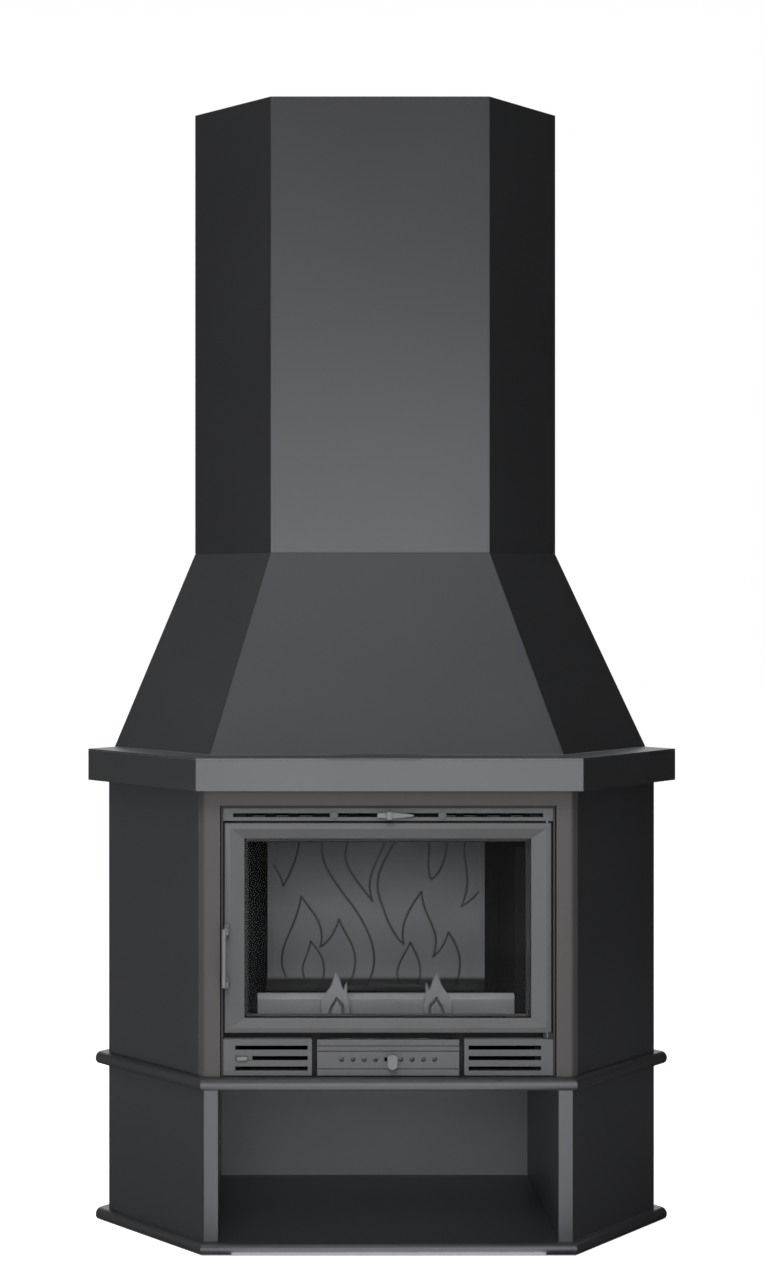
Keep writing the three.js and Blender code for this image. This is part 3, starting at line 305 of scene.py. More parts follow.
def mouth_mask(tree):
    """1 inside the rope's line round the firebox mouth, fading to 0 over a few millimetres."""
    middle_z, half_x, half_z, fade = 624 * mm, 283 * mm, 190 * mm, 8 * mm
    across = node(tree, "ShaderNodeMath", operation="ABSOLUTE")
    tree.links.new(object_axis(tree, "X"), across.inputs[0])
    height = node(tree, "ShaderNodeMath", operation="SUBTRACT")
    height.inputs[1].default_value = middle_z
    tree.links.new(object_axis(tree, "Z"), height.inputs[0])
    up = node(tree, "ShaderNodeMath", operation="ABSOLUTE")
    tree.links.new(height.outputs[0], up.inputs[0])
    inside_x = ramp_between(tree, across.outputs[0], half_x + fade, half_x)
    inside_z = ramp_between(tree, up.outputs[0], half_z + fade, half_z)
    both = node(tree, "ShaderNodeMath", operation="MULTIPLY")
    tree.links.new(inside_x, both.inputs[0])
    tree.links.new(inside_z, both.inputs[1])
    return both.outputs[0]


def hole_shade_mask(tree):
    """1 on what lies behind the drawer's front face, such as the walls of its air holes, as painted
    shade.
    """
    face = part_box("ash_drawer_front")[0][1]
    return ramp_between(tree, object_axis(tree, "Y"), face + hole_edge, face + hole_wall)


# soot inside the rope's line, over the rim's painted shade
soot_and_shade_frame = darkened_copy("soot_and_shade_frame", gap_shade_iron, mouth_mask)
# painted shade inside the drawer's air holes
shaded_drawer = darkened_copy("shaded_drawer", insert_iron, hole_shade_mask)
print("soot on:", soot_and_shade_frame.name, shaded_drawer.name)

# %% [markdown]
# Ceramic fire glass is clear and faintly grey. A thin film of ash makes its tint wander a
# little. The index is lower than real glass has, because the white air round the set would
# otherwise lie over the fire as a bright veil.

# %% The glass
glass_index = 1.12


def clear_glass(name):
    material = bpy.data.materials.new(name)
    material.use_nodes = True
    tree = material.node_tree
    shader = tree.nodes["Principled BSDF"]
    shader.inputs["Roughness"].default_value = 0.0
    shader.inputs["Transmission Weight"].default_value = 1.0
    shader.inputs["IOR"].default_value = glass_index
    tint = node(tree, "ShaderNodeMix", data_type="RGBA")
    tint.inputs[colour_a].default_value = (0.88, 0.89, 0.90, 1)
    tint.inputs[colour_b].default_value = (0.94, 0.95, 0.96, 1)
    tree.links.new(spread(tree, noise(tree, 14, 5.0), 0, 1), tint.inputs["Factor"])
    tree.links.new(tint.outputs[colour_out], shader.inputs["Base Color"])
    clear = node(tree, "ShaderNodeBsdfTransparent", Color=(0.90, 0.91, 0.92, 1))
    path = node(tree, "ShaderNodeLightPath")
    either = node(tree, "ShaderNodeMath", operation="MAXIMUM")
    tree.links.new(path.outputs["Is Shadow Ray"], either.inputs[0])
    tree.links.new(path.outputs["Is Diffuse Ray"], either.inputs[1])
    mix = node(tree, "ShaderNodeMixShader")
    tree.links.new(either.outputs[0], mix.inputs["Fac"])
    tree.links.new(shader.outputs["BSDF"], mix.inputs[1])
    tree.links.new(clear.outputs["BSDF"], mix.inputs[2])
    tree.links.new(mix.outputs["Shader"], tree.nodes["Material Output"].inputs["Surface"])
    return material


fire_glass = clear_glass("fire_glass")
print("glass:", fire_glass.name)

# %% [markdown]
# The record names a slot for every piece. One table turns each slot into its finish, and every
# carried-over piece gets its material from it.

# %% Finishes onto the pieces
slot_finish = {
    "casing_paint": casing_paint,
    "surround_paint": surround_paint,
    "zinc_sheet": zinc_sheet,
    "insert_iron": insert_iron,
    "fire_iron": fire_iron,
    "flue_enamel": flue_enamel,
    "bare_steel": bare_steel,
    "fire_glass": fire_glass,
    "rope": rope_fibre,
}
node_slot = {part["node"]: part["material_slot"] for part in frame["record"]["subparts"]}


def dress(piece, material):
    piece.data.materials.clear()
    piece.data.materials.append(material)


for name, piece in frame["nodes"].items():
    dress(piece, slot_finish[node_slot[name]])
print("dressed:", len(node_slot), "pieces")

# %% [markdown]
# Some pieces of a slot look different from the rest of it: what the fire has burnt or blackened,
# what hands have polished, and the sheets that the light strikes at another angle. Several carry
# painted light and painted shade: the darker hood, the lighter niche back, the pale firebox back,
# the near-black firebox walls, baffle and sliders, the near-black front frame and the drawer's
# black air holes. They are named here one by one and dressed again.

# %% Pieces with a finish of their own
own_finish = [
    (hood_paint, ("hood_front", "hood_side_left")),
    # painted light on the niche's back wall
    (niche_painted_light, ("niche_back",)),
    # painted light: the firebox back wears the pale plate iron to lift it out of the liners' shadow
    (burnt_and_lit_plate_iron, ("firebox_back",)),
    # soot, and painted shade: these walls, the baffle and the sliders stand in shade
    (soot_and_shade_iron, ("side_liner_right", "side_liner_left", "firebox_side_right", "firebox_side_left",
                  "firebox_top", "firebox_base", "smoke_baffle", "air_wash_slider", "air_slider")),
    (worn_iron, ("air_knob", "air_wash_knob", "grille_tab", "door_handle")),
    (black_steel, ("glass_strip_top", "glass_strip_bottom")),
    # painted shade round the door, and soot inside the rope's line
    (soot_and_shade_frame, ("front_frame",)),
    # painted shade in the walls of the drawer's air holes
    (shaded_drawer, ("ash_drawer_front",)),
]
for material, names in own_finish:
    for name in names:
        dress(frame["nodes"][name], material)
    print(material.name, "on", len(names))

# %% [markdown]
# ## Softened edges
# A real edge is never a line: folded sheet has a radius of about a millimetre and a casting a
# little more. It is that small radius that catches the light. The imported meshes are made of
# loose triangles, so a weld comes first, then a bevel that only takes edges sharper than 30
# degrees. Smooth shading alone would bend the light on the big flat faces, so the last step
# weights it by area and leaves those faces flat. Thin pieces with small holes have a smaller
# radius. These are modifiers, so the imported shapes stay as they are.

# %% Edge radii
edge_radius = {
    "casing_paint": 0.6 * mm,
    "surround_paint": 1.0 * mm,
    "zinc_sheet": 0.4 * mm,
    "insert_iron": 0.9 * mm,
    "fire_iron": 1.6 * mm,
    "flue_enamel": 0.5 * mm,
    "bare_steel": 0.25 * mm,
}
own_radius = {
    "ash_drawer_front": 0.3 * mm,
    "grille_right": 0.4 * mm,
    "grille_left": 0.4 * mm,
    "vent_strip": 0.4 * mm,
}


def soften(piece, radius, angle=30, segments=2):
    weld = piece.modifiers.new("weld", "WELD")
    weld.merge_threshold = 0.01 * mm
    bevel = piece.modifiers.new("edges", "BEVEL")
    bevel.width = radius
    bevel.segments = segments
    bevel.limit_method = "ANGLE"
    bevel.angle_limit = math.radians(angle)
    bevel.use_clamp_overlap = True
    flat = piece.modifiers.new("flat_faces", "WEIGHTED_NORMAL")
    flat.mode = "FACE_AREA"
    flat.weight = 100
    flat.keep_sharp = True
    for face in piece.data.polygons:
        face.use_smooth = True


softened = [name for name in frame["nodes"] if node_slot[name] in edge_radius]
for name in softened:
    soften(frame["nodes"][name], own_radius.get(name, edge_radius[node_slot[name]]))
print("softened:", len(softened), "pieces")

# %% [markdown]
# ## Helpers for new pieces
# A piece that needs more detail than the frame holds is built here and stands for its node. It
# takes its place from the node's box, its finish from the same slot, and rides on the same body.

# %% Adding a piece
def body_of_node(name):
    bodies = frame["record"]["behaviour"]["bodies"]
    return next(body for body, members in bodies.items() if name in members)


def box_mm(name):
    """The low and the high corner of a node's box, in mm."""
    low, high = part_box(name)
    return [v / mm for v in low], [v / mm for v in high]


def add_piece(name, mesh, node_name, replace=True):
    """A new piece with a node's finish and body, which replaces the node unless told not to."""
    piece = bpy.data.objects.new(name, mesh)
    bpy.context.scene.collection.objects.link(piece)
    dress(piece, slot_finish[node_slot[node_name]])
    for face in mesh.polygons:
        face.use_smooth = True
    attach(piece, body_of_node(node_name))
    if replace:
        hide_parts(node_name)
    return piece


def mesh_of(name, points_mm, faces):
    mesh = bpy.data.meshes.new(name)
    mesh.from_pydata([[v * mm for v in p] for p in points_mm], [], faces)
    mesh.validate()
    mesh.update()
    return mesh


def crease_smooth(piece, angle=35):
    """Smooth shading that keeps edges sharper than the angle."""
    mesh = piece.data
    for face in mesh.polygons:
        face.use_smooth = True
    bm = bmesh.new()
    bm.from_mesh(mesh)
    for edge in bm.edges:
        if len(edge.link_faces) == 2:
            edge.smooth = edge.calc_face_angle() < math.radians(angle)
    bm.to_mesh(mesh)
    bm.free()


print("piece helpers ready")

# %% [markdown]
# ## The fireback
# The plate at the back of the fire is cast with a drawing of large flames cut into its face.
# A line is a chain of cubic curves: a start, then two handles and an end for each curve. The
# flames stand on the lower edge, taper in an S and end in a leaning tip, and others run out
# over the upper edge. They are drawn for a plate 325 mm tall and stretched to the real height.

# %% The flame lines
drawing_height = 325
plate_low, plate_high = box_mm("fireback")
plate_rise = (plate_high[2] - plate_low[2]) / drawing_height


def bend(a, b, c, d, steps=24):
    """Points along a cubic curve from a to d."""
    t = np.linspace(0, 1, steps)[:, None]
    a, b, c, d = (np.array(p, float) for p in (a, b, c, d))
    return a * (1 - t) ** 3 + 3 * b * t * (1 - t) ** 2 + 3 * c * t**2 * (1 - t) + d * t**3


def chain(start, *curves):
    """Curves that follow on from each other, each as (handle, handle, end)."""
    line = []
    for before, after, end in curves:
        line.append(bend(start, before, after, end) * (1, plate_rise))
        start = end
    return line


flame_lines = [  # mm from the plate's middle and from its lower edge
    *chain((-176, 8), ((-232, 70), (-168, 112), (-158, 188)),
           ((-140, 158), (-104, 138), (-118, 86)),
           ((-98, 98), (-86, 116), (-78, 142)),
           ((-64, 100), (-22, 78), (-58, 8))),
    *chain((-150, 22), ((-164, 54), (-142, 66), (-138, 98)),
           ((-118, 74), (-104, 58), (-112, 22))),
    *chain((-104, 325), ((-142, 258), (-72, 206), (-38, 152)),
           ((-6, 104), (10, 56), (-20, 8))),
    *chain((-44, 325), ((-94, 262), (-44, 226), (-8, 178)),
           ((-30, 240), (18, 262), (22, 325))),
    *chain((62, 325), ((20, 270), (-16, 226), (14, 168)),
           ((24, 138), (34, 112), (58, 92)),
           ((50, 132), (66, 158), (96, 198)),
           ((98, 142), (142, 122), (120, 66)),
           ((134, 78), (146, 92), (152, 116)),
           ((176, 84), (186, 52), (166, 8))),
    *chain((50, 8), ((34, 46), (58, 62), (72, 96)),
           ((84, 70), (102, 50), (88, 8))),
    *chain((102, 325), ((126, 284), (100, 262), (116, 222)),
           ((150, 244), (148, 288), (156, 325))),
    *chain((204, 325), ((162, 276), (214, 236), (180, 168)),
           ((206, 182), (218, 196), (226, 214))),
    *chain((-226, 262), ((-208, 240), (-200, 226), (-196, 208)),
           ((-180, 240), (-164, 262), (-160, 325))),
]
print("flame lines:", len(flame_lines), "curves")

# %% [markdown]
# A bump map would vanish from the side, so the face is a fine grid that is really pressed in
# along the lines. The distance from each grid point to the nearest line says how deep. A cosine
# profile gives the groove round shoulders, as a pattern-maker's gouge would leave. A flat rim
# runs round the plate, and the sides and back close it.

# %% Pressing the lines into the plate
groove_half = 3.4  # mm, as all these
groove_depth = 3.4
rim_width = 9
rim_slope = 2
rim_step = 1.6
grid_step = 2.0


def distance_to_lines(points, lines):
    """How far each point lies from the nearest line."""
    nearest = np.full(len(points), np.inf)
    for line in lines:
        for a, b in zip(line[:-1], line[1:]):
            along = b - a
            share = np.clip(((points - a) @ along) / max(along @ along, 1e-9), 0, 1)
            gap = np.linalg.norm(points - (a + share[:, None] * along), axis=1)
            nearest = np.minimum(nearest, gap)
    return nearest


def relief_plate(name, node_name, lines):
    """A closed plate in the node's box, with a rim and with the lines pressed into its front."""
    low, high = box_mm(node_name)
    across = np.linspace(low[0], high[0], int((high[0] - low[0]) / grid_step) + 1)
    up = np.linspace(low[2], high[2], int((high[2] - low[2]) / grid_step) + 1)
    grid_x, grid_z = np.meshgrid(across, up, indexing="ij")
    points = np.stack([grid_x.ravel(), grid_z.ravel() - low[2]], 1)
    gap = distance_to_lines(points, lines)
    across_groove = np.clip(gap / groove_half, 0, 1)
    press = np.where(gap < groove_half, 0.5 + 0.5 * np.cos(np.pi * across_groove), 0)
    edge = np.minimum(grid_x - low[0], high[0] - grid_x)
    edge = np.minimum(edge, np.minimum(grid_z - low[2], high[2] - grid_z)).ravel()
    inner = np.clip((edge - rim_width) / rim_slope, 0, 1)
    depth = low[1] + rim_step * inner + groove_depth * press * inner
    columns, rows = len(across), len(up)
    front = [(x, y, z) for x, y, z in zip(grid_x.ravel(), depth, grid_z.ravel())]
    back = [(x, high[1], z) for x, y, z in front]
    index = np.arange(columns * rows).reshape(columns, rows)
    faces = []
    for i in range(columns - 1):
        for j in range(rows - 1):
            faces.append((index[i, j], index[i + 1, j], index[i + 1, j + 1], index[i, j + 1]))
    ring = [*index[:, 0], *index[-1, 1:], *index[-2::-1, -1], *index[0, -2:0:-1]]
    count = columns * rows
    for a, b in zip(ring, ring[1:] + ring[:1]):
        faces.append((b, a, a + count, b + count))
    faces.append(tuple(int(c + count) for c in reversed(ring)))
    mesh = mesh_of(name, front + back, [tuple(int(v) for v in face) for face in faces])
    bm = bmesh.new()
    bm.from_mesh(mesh)
    bmesh.ops.delete(bm, geom=[v for v in bm.verts if not v.link_faces], context="VERTS")
    bm.to_mesh(mesh)
    bm.free()
    return mesh


pressed = relief_plate("fireback_plate", "fireback", flame_lines)
fireback = add_piece("fireback_plate", pressed, "fireback")
crease_smooth(fireback, 50)
print("fireback:", len(fireback.data.vertices), "points")

# %% [markdown]
# The plate is burnt pale where the flames lick it, and lightened further as painted light. Painted
# shade darkens it down in its grooves, in a band along its foot behind the ashes, and more and more
# towards its head, which the firebox's roof shades.

# %% Painted shade on the fireback
plate_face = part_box("fireback")[0][1] + rim_step * mm
plate_foot, plate_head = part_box("fireback")[0][2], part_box("fireback")[1][2]
groove_lit, groove_shaded = 0.4 * mm, 3.6 * mm  # behind the plate's face
foot_shaded, foot_lit = 22 * mm, 30 * mm
head_reach = 170 * mm
head_share = 0.62


def plate_shade(tree):
    """Painted shade: 1 in the grooves and along the plate's foot, and growing towards its head."""
    depth, height = object_axis(tree, "Y"), object_axis(tree, "Z")
    groove = ramp_between(tree, depth, plate_face + groove_lit, plate_face + groove_shaded)
    foot = ramp_between(tree, height, plate_foot + foot_lit, plate_foot + foot_shaded)
    either = node(tree, "ShaderNodeMath", operation="MAXIMUM")
    tree.links.new(groove, either.inputs[0])
    tree.links.new(foot, either.inputs[1])
    head = ramp_between(tree, height, plate_head - head_reach, plate_head)
    part = node(tree, "ShaderNodeMath", operation="MULTIPLY")
    part.inputs[1].default_value = head_share
    tree.links.new(head, part.inputs[0])
    most = node(tree, "ShaderNodeMath", operation="MAXIMUM")
    tree.links.new(either.outputs[0], most.inputs[0])
    tree.links.new(part.outputs[0], most.inputs[1])
    return most.outputs[0]


# painted shade on the pale plate: in the grooves, along the foot and towards the head
dress(fireback, darkened_copy("shaded_fireback", burnt_and_lit_plate_iron, plate_shade))
print("fireback wears", fireback.active_material.name)

# %% [markdown]
# ## The andirons
# Two small cast flames stand in front of the log retainer and keep the logs off the glass. A
# filled curve suits them: its handles draw the swelling sides directly, and its bevel rounds
# the whole outline at once, which a cut-out plate would need a second step for. A second
# outline within the first cuts a hollow, and a smaller tongue of flame stands in it.

# %% Drawing a flame
def mesh_of_drawing(drawing):
    """The mesh that a drawn curve and its modifiers make. The drawing is then thrown away."""
    curve = drawing.data
    mesh = bpy.data.meshes.new_from_object(
        drawing.evaluated_get(bpy.context.evaluated_depsgraph_get()))
    bpy.data.objects.remove(drawing)
    bpy.data.curves.remove(curve)
    return mesh


def filled_curve(name, outlines, half_depth, rounding):
    """A filled flat shape as a mesh. Each outline is a list of (before, point, after) in mm."""
    curve = bpy.data.curves.new(name, "CURVE")
    curve.dimensions = "2D"
    curve.fill_mode = "BOTH"
    curve.resolution_u = 10
    curve.extrude = (half_depth - rounding) * mm
    curve.bevel_depth = rounding * mm
    curve.bevel_resolution = 3
    curve.offset = -rounding * mm
    for knots in outlines:
        spline = curve.splines.new("BEZIER")
        spline.bezier_points.add(len(knots) - 1)
        spline.use_cyclic_u = True
        for knot, (before, point, after) in zip(spline.bezier_points, knots):
            knot.co = (point[0] * mm, point[1] * mm, 0)
            knot.handle_left = (before[0] * mm, before[1] * mm, 0)
            knot.handle_right = (after[0] * mm, after[1] * mm, 0)
    drawing = bpy.data.objects.new(name, curve)
    bpy.context.scene.collection.objects.link(drawing)
    return mesh_of_drawing(drawing)


outer_flame = [
    ((-26, 14), (-20, 0), (-8, 0)),
    ((8, 0), (21, 0), (27, 14)),
    ((32, 26), (31, 40), (30, 54)),
    ((14, 62), (9, 78), (6, 86)),
    ((4, 92), (3, 100), (-3, 94)),
    ((-7, 86), (-9, 78), (-10, 73)),
    ((-12, 69), (-14, 66), (-15, 70)),
    ((-17, 75), (-20, 80), (-22, 70)),
    ((-19, 62), (-22, 50), (-28, 36)),
]
flame_hollow = [
    ((-15, 22), (-14, 8), (-6, 8)),
    ((6, 8), (15, 8), (16, 24)),
    ((14, 36), (3, 46), (1, 62)),
    ((-3, 46), (-14, 38), (-15, 30)),
]
flame_tongue = [
    ((-11, 18), (-9, 3), (-4, 3)),
    ((4, 3), (10, 3), (11, 20)),
    ((10, 32), (3, 38), (1, 50)),
    ((-3, 38), (-10, 32), (-11, 26)),
]
print("flame outlines:", len(outer_flame), len(flame_hollow), len(flame_tongue), "knots")

# %% [markdown]
# The curve lies flat, so it is stood up, mirrored for the left hand and set on the hearth just
# in front of the retainer. The hook that hangs it over the retainer's top edge is a small block
# with its own rounded edges, joined to the flame's back.

# %% Standing the andirons up
def rounded_block(low, high, radius, segments=2):
    """A block between two corners in mm, with rounded edges, as a bmesh."""
    bm = bmesh.new()
    bmesh.ops.create_cube(bm, size=1)
    size = Vector(high) - Vector(low)
    middle = (Vector(high) + Vector(low)) / 2
    bmesh.ops.scale(bm, vec=size * mm, verts=bm.verts)
    bmesh.ops.translate(bm, vec=middle * mm, verts=bm.verts)
    bmesh.ops.bevel(bm, geom=bm.edges[:], offset=radius * mm, segments=segments, profile=0.5,
                    affect="EDGES")
    return bm


def joined(name, parts, transforms):
    """One mesh from several, each moved by its own matrix."""
    bm = bmesh.new()
    for part, transform in zip(parts, transforms):
        part = part.copy()
        part.transform(transform)
        if transform.determinant() < 0:
            part.flip_normals()
        bm.from_mesh(part)
        bpy.data.meshes.remove(part)
    mesh = bpy.data.meshes.new(name)
    bm.to_mesh(mesh)
    bm.free()
    return mesh


andiron_depth = 12
andiron_axis = 97  # mm from the middle
andiron_rounding = 1.6
hook_half, hook_height, hook_radius = 5, 5, 1.2
hook_gap = 0.3
hook_overlap = 1
retainer_top = box_mm("log_retainer")[1][2]
outer_plate = filled_curve("outer_flame", [outer_flame, flame_hollow], andiron_depth / 2,
                           andiron_rounding)
tongue_plate = filled_curve("flame_tongue", [flame_tongue], andiron_depth / 2, andiron_rounding)
upright = Matrix.Rotation(math.pi / 2, 4, "X")
for side, hand in (("right", 1), ("left", -1)):
    low, high = box_mm("andiron_" + side)
    axis_x = hand * andiron_axis
    front = low[1]
    place = Matrix.Translation(Vector((axis_x, front + andiron_depth / 2, low[2])) * mm)
    turn = Matrix.Scale(hand, 4, (1, 0, 0))
    hook = bpy.data.meshes.new("hook")
    hook_front = front + andiron_depth - hook_overlap
    block = rounded_block((axis_x - hook_half, hook_front, retainer_top + hook_gap),
                          (axis_x + hook_half, high[1], retainer_top + hook_height), hook_radius)
    block.to_mesh(hook)
    block.free()
    stand = place @ turn @ upright
    mesh = joined("andiron", [outer_plate, tongue_plate, hook], [stand, stand, Matrix.Identity(4)])
    add_piece("flame_andiron_" + side, mesh, "andiron_" + side)
print("andirons stand", andiron_axis, "mm left and right of the middle")

# %% [markdown]
# ## The door rope
# The door closes on a glass-fibre rope pressed into a groove. It is three strands laid round
# each other, so each strand is a helix round the groove's line. Where the groove turns its
# corner the line is rounded, as rope cannot fold. First comes that line, as a closed loop of
# points.

# %% The line of the rope
rope_low, rope_high = box_mm("door_seal")
rope_thick = rope_high[1] - rope_low[1]
strand_share = 0.285  # radius to rope thickness: the strands press into each other
strand = rope_thick * strand_share
orbit = rope_thick * 0.5 - strand
corner = 9  # mm radius
corner_steps = 6


def groove_line(step=1.5):
    """Points along the groove's middle, with rounded corners, as (x, z)."""
    inset = strand + orbit
    x0, x1 = rope_low[0] + inset, rope_high[0] - inset
    z0, z1 = rope_low[2] + inset, rope_high[2] - inset
    centres = [(x1 - corner, z0 + corner, -90), (x1 - corner, z1 - corner, 0),
               (x0 + corner, z1 - corner, 90), (x0 + corner, z0 + corner, 180)]
    line = []
    for cx, cz, start in centres:
        for part in range(corner_steps + 1):
            angle = math.radians(start + 90 * part / corner_steps)
            line.append((cx + corner * math.cos(angle), cz + corner * math.sin(angle)))
    line.append(line[0])
    dense = []
    for a, b in zip(line[:-1], line[1:]):
        a, b = np.array(a), np.array(b)
        pieces = max(1, int(np.linalg.norm(b - a) / step))
        dense += [a + (b - a) * i / pieces for i in range(pieces)]
    return np.array(dense)


print("rope:", round(rope_thick, 1), "mm thick, strands", round(2 * strand, 1))

# %% [markdown]
# Each strand is then swept along its helix with a ring of six points, which is plenty for a
# strand a few millimetres thick. The number of turns is rounded, so the loop closes.

# %% Laying the rope
lay = 15  # mm of rope for one turn
strand_count = 3
sides = 6


def laid_rope(name):
    """The strands round the groove's line, as one mesh."""
    line = groove_line()
    count = len(line)
    ahead = np.roll(line, -1, axis=0) - np.roll(line, 1, axis=0)
    ahead /= np.linalg.norm(ahead, axis=1)[:, None]
    out = np.stack([ahead[:, 1], -ahead[:, 0]], 1)
    run = np.concatenate([[0], np.cumsum(np.linalg.norm(np.diff(line, axis=0), axis=1))])
    whole = run[-1] + np.linalg.norm(line[0] - line[-1])
    turns = round(whole / lay)
    middle_y = (rope_low[1] + rope_high[1]) / 2
    points, faces = [], []
    for s in range(strand_count):
        base = len(points)
        for i in range(count):
            angle = 2 * math.pi * (turns * run[i] / whole + s / strand_count)
            heart = (line[i][0] + out[i][0] * orbit * math.cos(angle),
                     middle_y + orbit * math.sin(angle),
                     line[i][1] + out[i][1] * orbit * math.cos(angle))
            for k in range(sides):
                a = 2 * math.pi * k / sides
                points.append((heart[0] + out[i][0] * strand * math.cos(a),
                               heart[1] + strand * math.sin(a),
                               heart[2] + out[i][1] * strand * math.cos(a)))
        for i in range(count):
            j = (i + 1) % count
            for k in range(sides):
                m = (k + 1) % sides
                faces.append((base + i * sides + k, base + i * sides + m,
                              base + j * sides + m, base + j * sides + k))
    print("rope:", round(whole), "mm long,", turns, "turns")
    return mesh_of(name, points, faces)


add_piece("door_rope", laid_rope("door_rope"), "door_seal")

# %% [markdown]
# ## Turned pieces
# The guide studs, the flue collar and the upright pipe are round. A profile of radius and
# height spun about an axis gives each one, with as many sides as its size needs. The spin is
# written once and takes the axis direction, because the studs lie along Y and the pipe stands up.

# %% A spun profile
def spun(name, profile, centre, axis="Z", sides=48):
    """A closed profile of (radius, height) in mm turned about an axis through centre."""
    points, faces = [], []
    count = len(profile)
    for i in range(sides):
        angle = 2 * math.pi * i / sides
        for radius, height in profile:
            a, b = radius * math.cos(angle), radius * math.sin(angle)
            offset = (a, b, height) if axis == "Z" else (a, height, b)
            points.append(tuple(c + o for c, o in zip(centre, offset)))
    for i in range(sides):
        j = (i + 1) % sides
        for k in range(count):
            m = (k + 1) % count
            faces.append((i * count + k, i * count + m, j * count + m, j * count + k))
    mesh = mesh_of(name, points, faces)
    bm = bmesh.new()
    bm.from_mesh(mesh)
    bmesh.ops.remove_doubles(bm, verts=bm.verts, dist=0.001 * mm)
    bmesh.ops.recalc_face_normals(bm, faces=bm.faces)
    bm.to_mesh(mesh)
    bm.free()
    return mesh


print("spin helper ready")

# %% [markdown]
# A guide stud has a low domed head with a flat seat, and a shank that runs through the slider
# into the frame. Its profile starts and ends on the axis, so the spin closes it.

# %% Guide studs
head = 3
dome_share = 0.55  # of the head's height
dome_angle = 1.2  # radians of a circle in the dome
shank_radius = 3
head_chamfer = 0.3

for side in ("right", "left"):
    low, high = box_mm("guide_stud_" + side)
    radius = (high[0] - low[0]) / 2
    middle = ((high[0] + low[0]) / 2, low[1], (high[2] + low[2]) / 2)
    length = high[1] - low[1]
    profile = [(radius * math.sin(a) / math.sin(dome_angle),
                head * dome_share * (1 - math.cos(a)) / (1 - math.cos(dome_angle)))
               for a in np.linspace(0, dome_angle, 7)]
    profile += [(radius, head - head_chamfer), (radius - head_chamfer, head),
                (shank_radius, head), (shank_radius, length), (0, length)]
    stud = add_piece("stud_" + side, spun("stud", profile, middle, "Y", 40), "guide_stud_" + side)
    crease_smooth(stud)
print("studs:", round(radius, 1), "mm radius")

# %% [markdown]
# ## The flue
# Inside the flue box stands an enamelled pipe; from above its rim is in plain sight. The pipe
# has a small rolled bead at its mouth, which stands out a little from the tube below it.

# %% The upright pipe
wall = 2.0
pipe_low, pipe_high = box_mm("flue_pipe")
pipe_outer = (pipe_high[0] - pipe_low[0]) / 2
pipe_axis = (0, (pipe_low[1] + pipe_high[1]) / 2, 0)
bead_height, bead_proud, bead_round, rim_chamfer = 6, 0.4, 1.6, 0.6
pipe_profile = [
    (pipe_outer - wall, pipe_low[2]),
    (pipe_outer - bead_proud, pipe_low[2]),
    (pipe_outer - bead_proud, pipe_high[2] - bead_height - 1),
    (pipe_outer, pipe_high[2] - bead_height),
    (pipe_outer, pipe_high[2] - bead_round),
    (pipe_outer - rim_chamfer, pipe_high[2]),
    (pipe_outer - wall, pipe_high[2]),
]
pipe = add_piece("flue_pipe_tube", spun("pipe", pipe_profile, pipe_axis, "Z", 72), "flue_pipe")
crease_smooth(pipe)
print("pipe:", round(pipe_outer, 1), "mm radius")

# %% [markdown]
# The collar is cast: a flange that sits on the insert, and a sleeve that the bend slips into.
# A fillet joins the two, and the sleeve has a seat inside for the bend's foot.

# %% The collar
collar_low, collar_high = box_mm("flue_collar")
flange_radius = (collar_high[0] - collar_low[0]) / 2
collar_axis = (0, (collar_low[1] + collar_high[1]) / 2, 0)
bore, seat, sleeve = 85.5, 87.8, 92.8  # radii
flange, chamfer, fillet = 6, 1, 3
z0, z1 = collar_low[2], collar_high[2]
z_flange = z0 + flange
collar_profile = [
    (bore, z0), (flange_radius - chamfer, z0), (flange_radius, z0 + chamfer),
    (flange_radius, z_flange - chamfer), (flange_radius - chamfer, z_flange),
    (sleeve + fillet, z_flange), (sleeve + 0.8, z_flange + 0.8), (sleeve, z_flange + fillet),
    (sleeve, z1 - chamfer), (sleeve - chamfer, z1), (seat, z1), (seat, z_flange),
    (bore, z_flange),
]
collar_mesh = spun("collar", collar_profile, collar_axis, "Z", 72)
collar = add_piece("flue_collar_ring", collar_mesh, "flue_collar")
crease_smooth(collar, 40)
print("collar flange:", round(flange_radius, 1), "mm radius")

# %% [markdown]
# The double bend is a tube that leaves the collar upright, leans back and ends upright again. A
# curve with a round bevel follows that line exactly, and a modifier gives the wall a thickness.

# %% The double bend
turn_clear = 60  # from the mantel's foot up to the lower turn, and from the upper one to the top
foot_reach, knot_reach = 30, 20  # handles on the upright ends
ease_share = 0.45  # handles on the leaning part, as a share of its height


def swept_tube(name, knots_mm, radius, thickness):
    """A tube along a curve in the Y-Z plane, with knots as (before, point, after) in mm."""
    curve = bpy.data.curves.new(name, "CURVE")
    curve.dimensions = "3D"
    curve.resolution_u = 20
    curve.bevel_depth = (radius - thickness / 2) * mm
    curve.bevel_resolution = 14
    spline = curve.splines.new("BEZIER")
    spline.bezier_points.add(len(knots_mm) - 1)
    for knot, (before, point, after) in zip(spline.bezier_points, knots_mm):
        knot.co = Vector((0, *point)) * mm
        knot.handle_left = Vector((0, *before)) * mm
        knot.handle_right = Vector((0, *after)) * mm
    drawing = bpy.data.objects.new(name, curve)
    bpy.context.scene.collection.objects.link(drawing)
    shell = drawing.modifiers.new("wall", "SOLIDIFY")
    shell.thickness = thickness * mm
    shell.offset = 0
    return mesh_of_drawing(drawing)


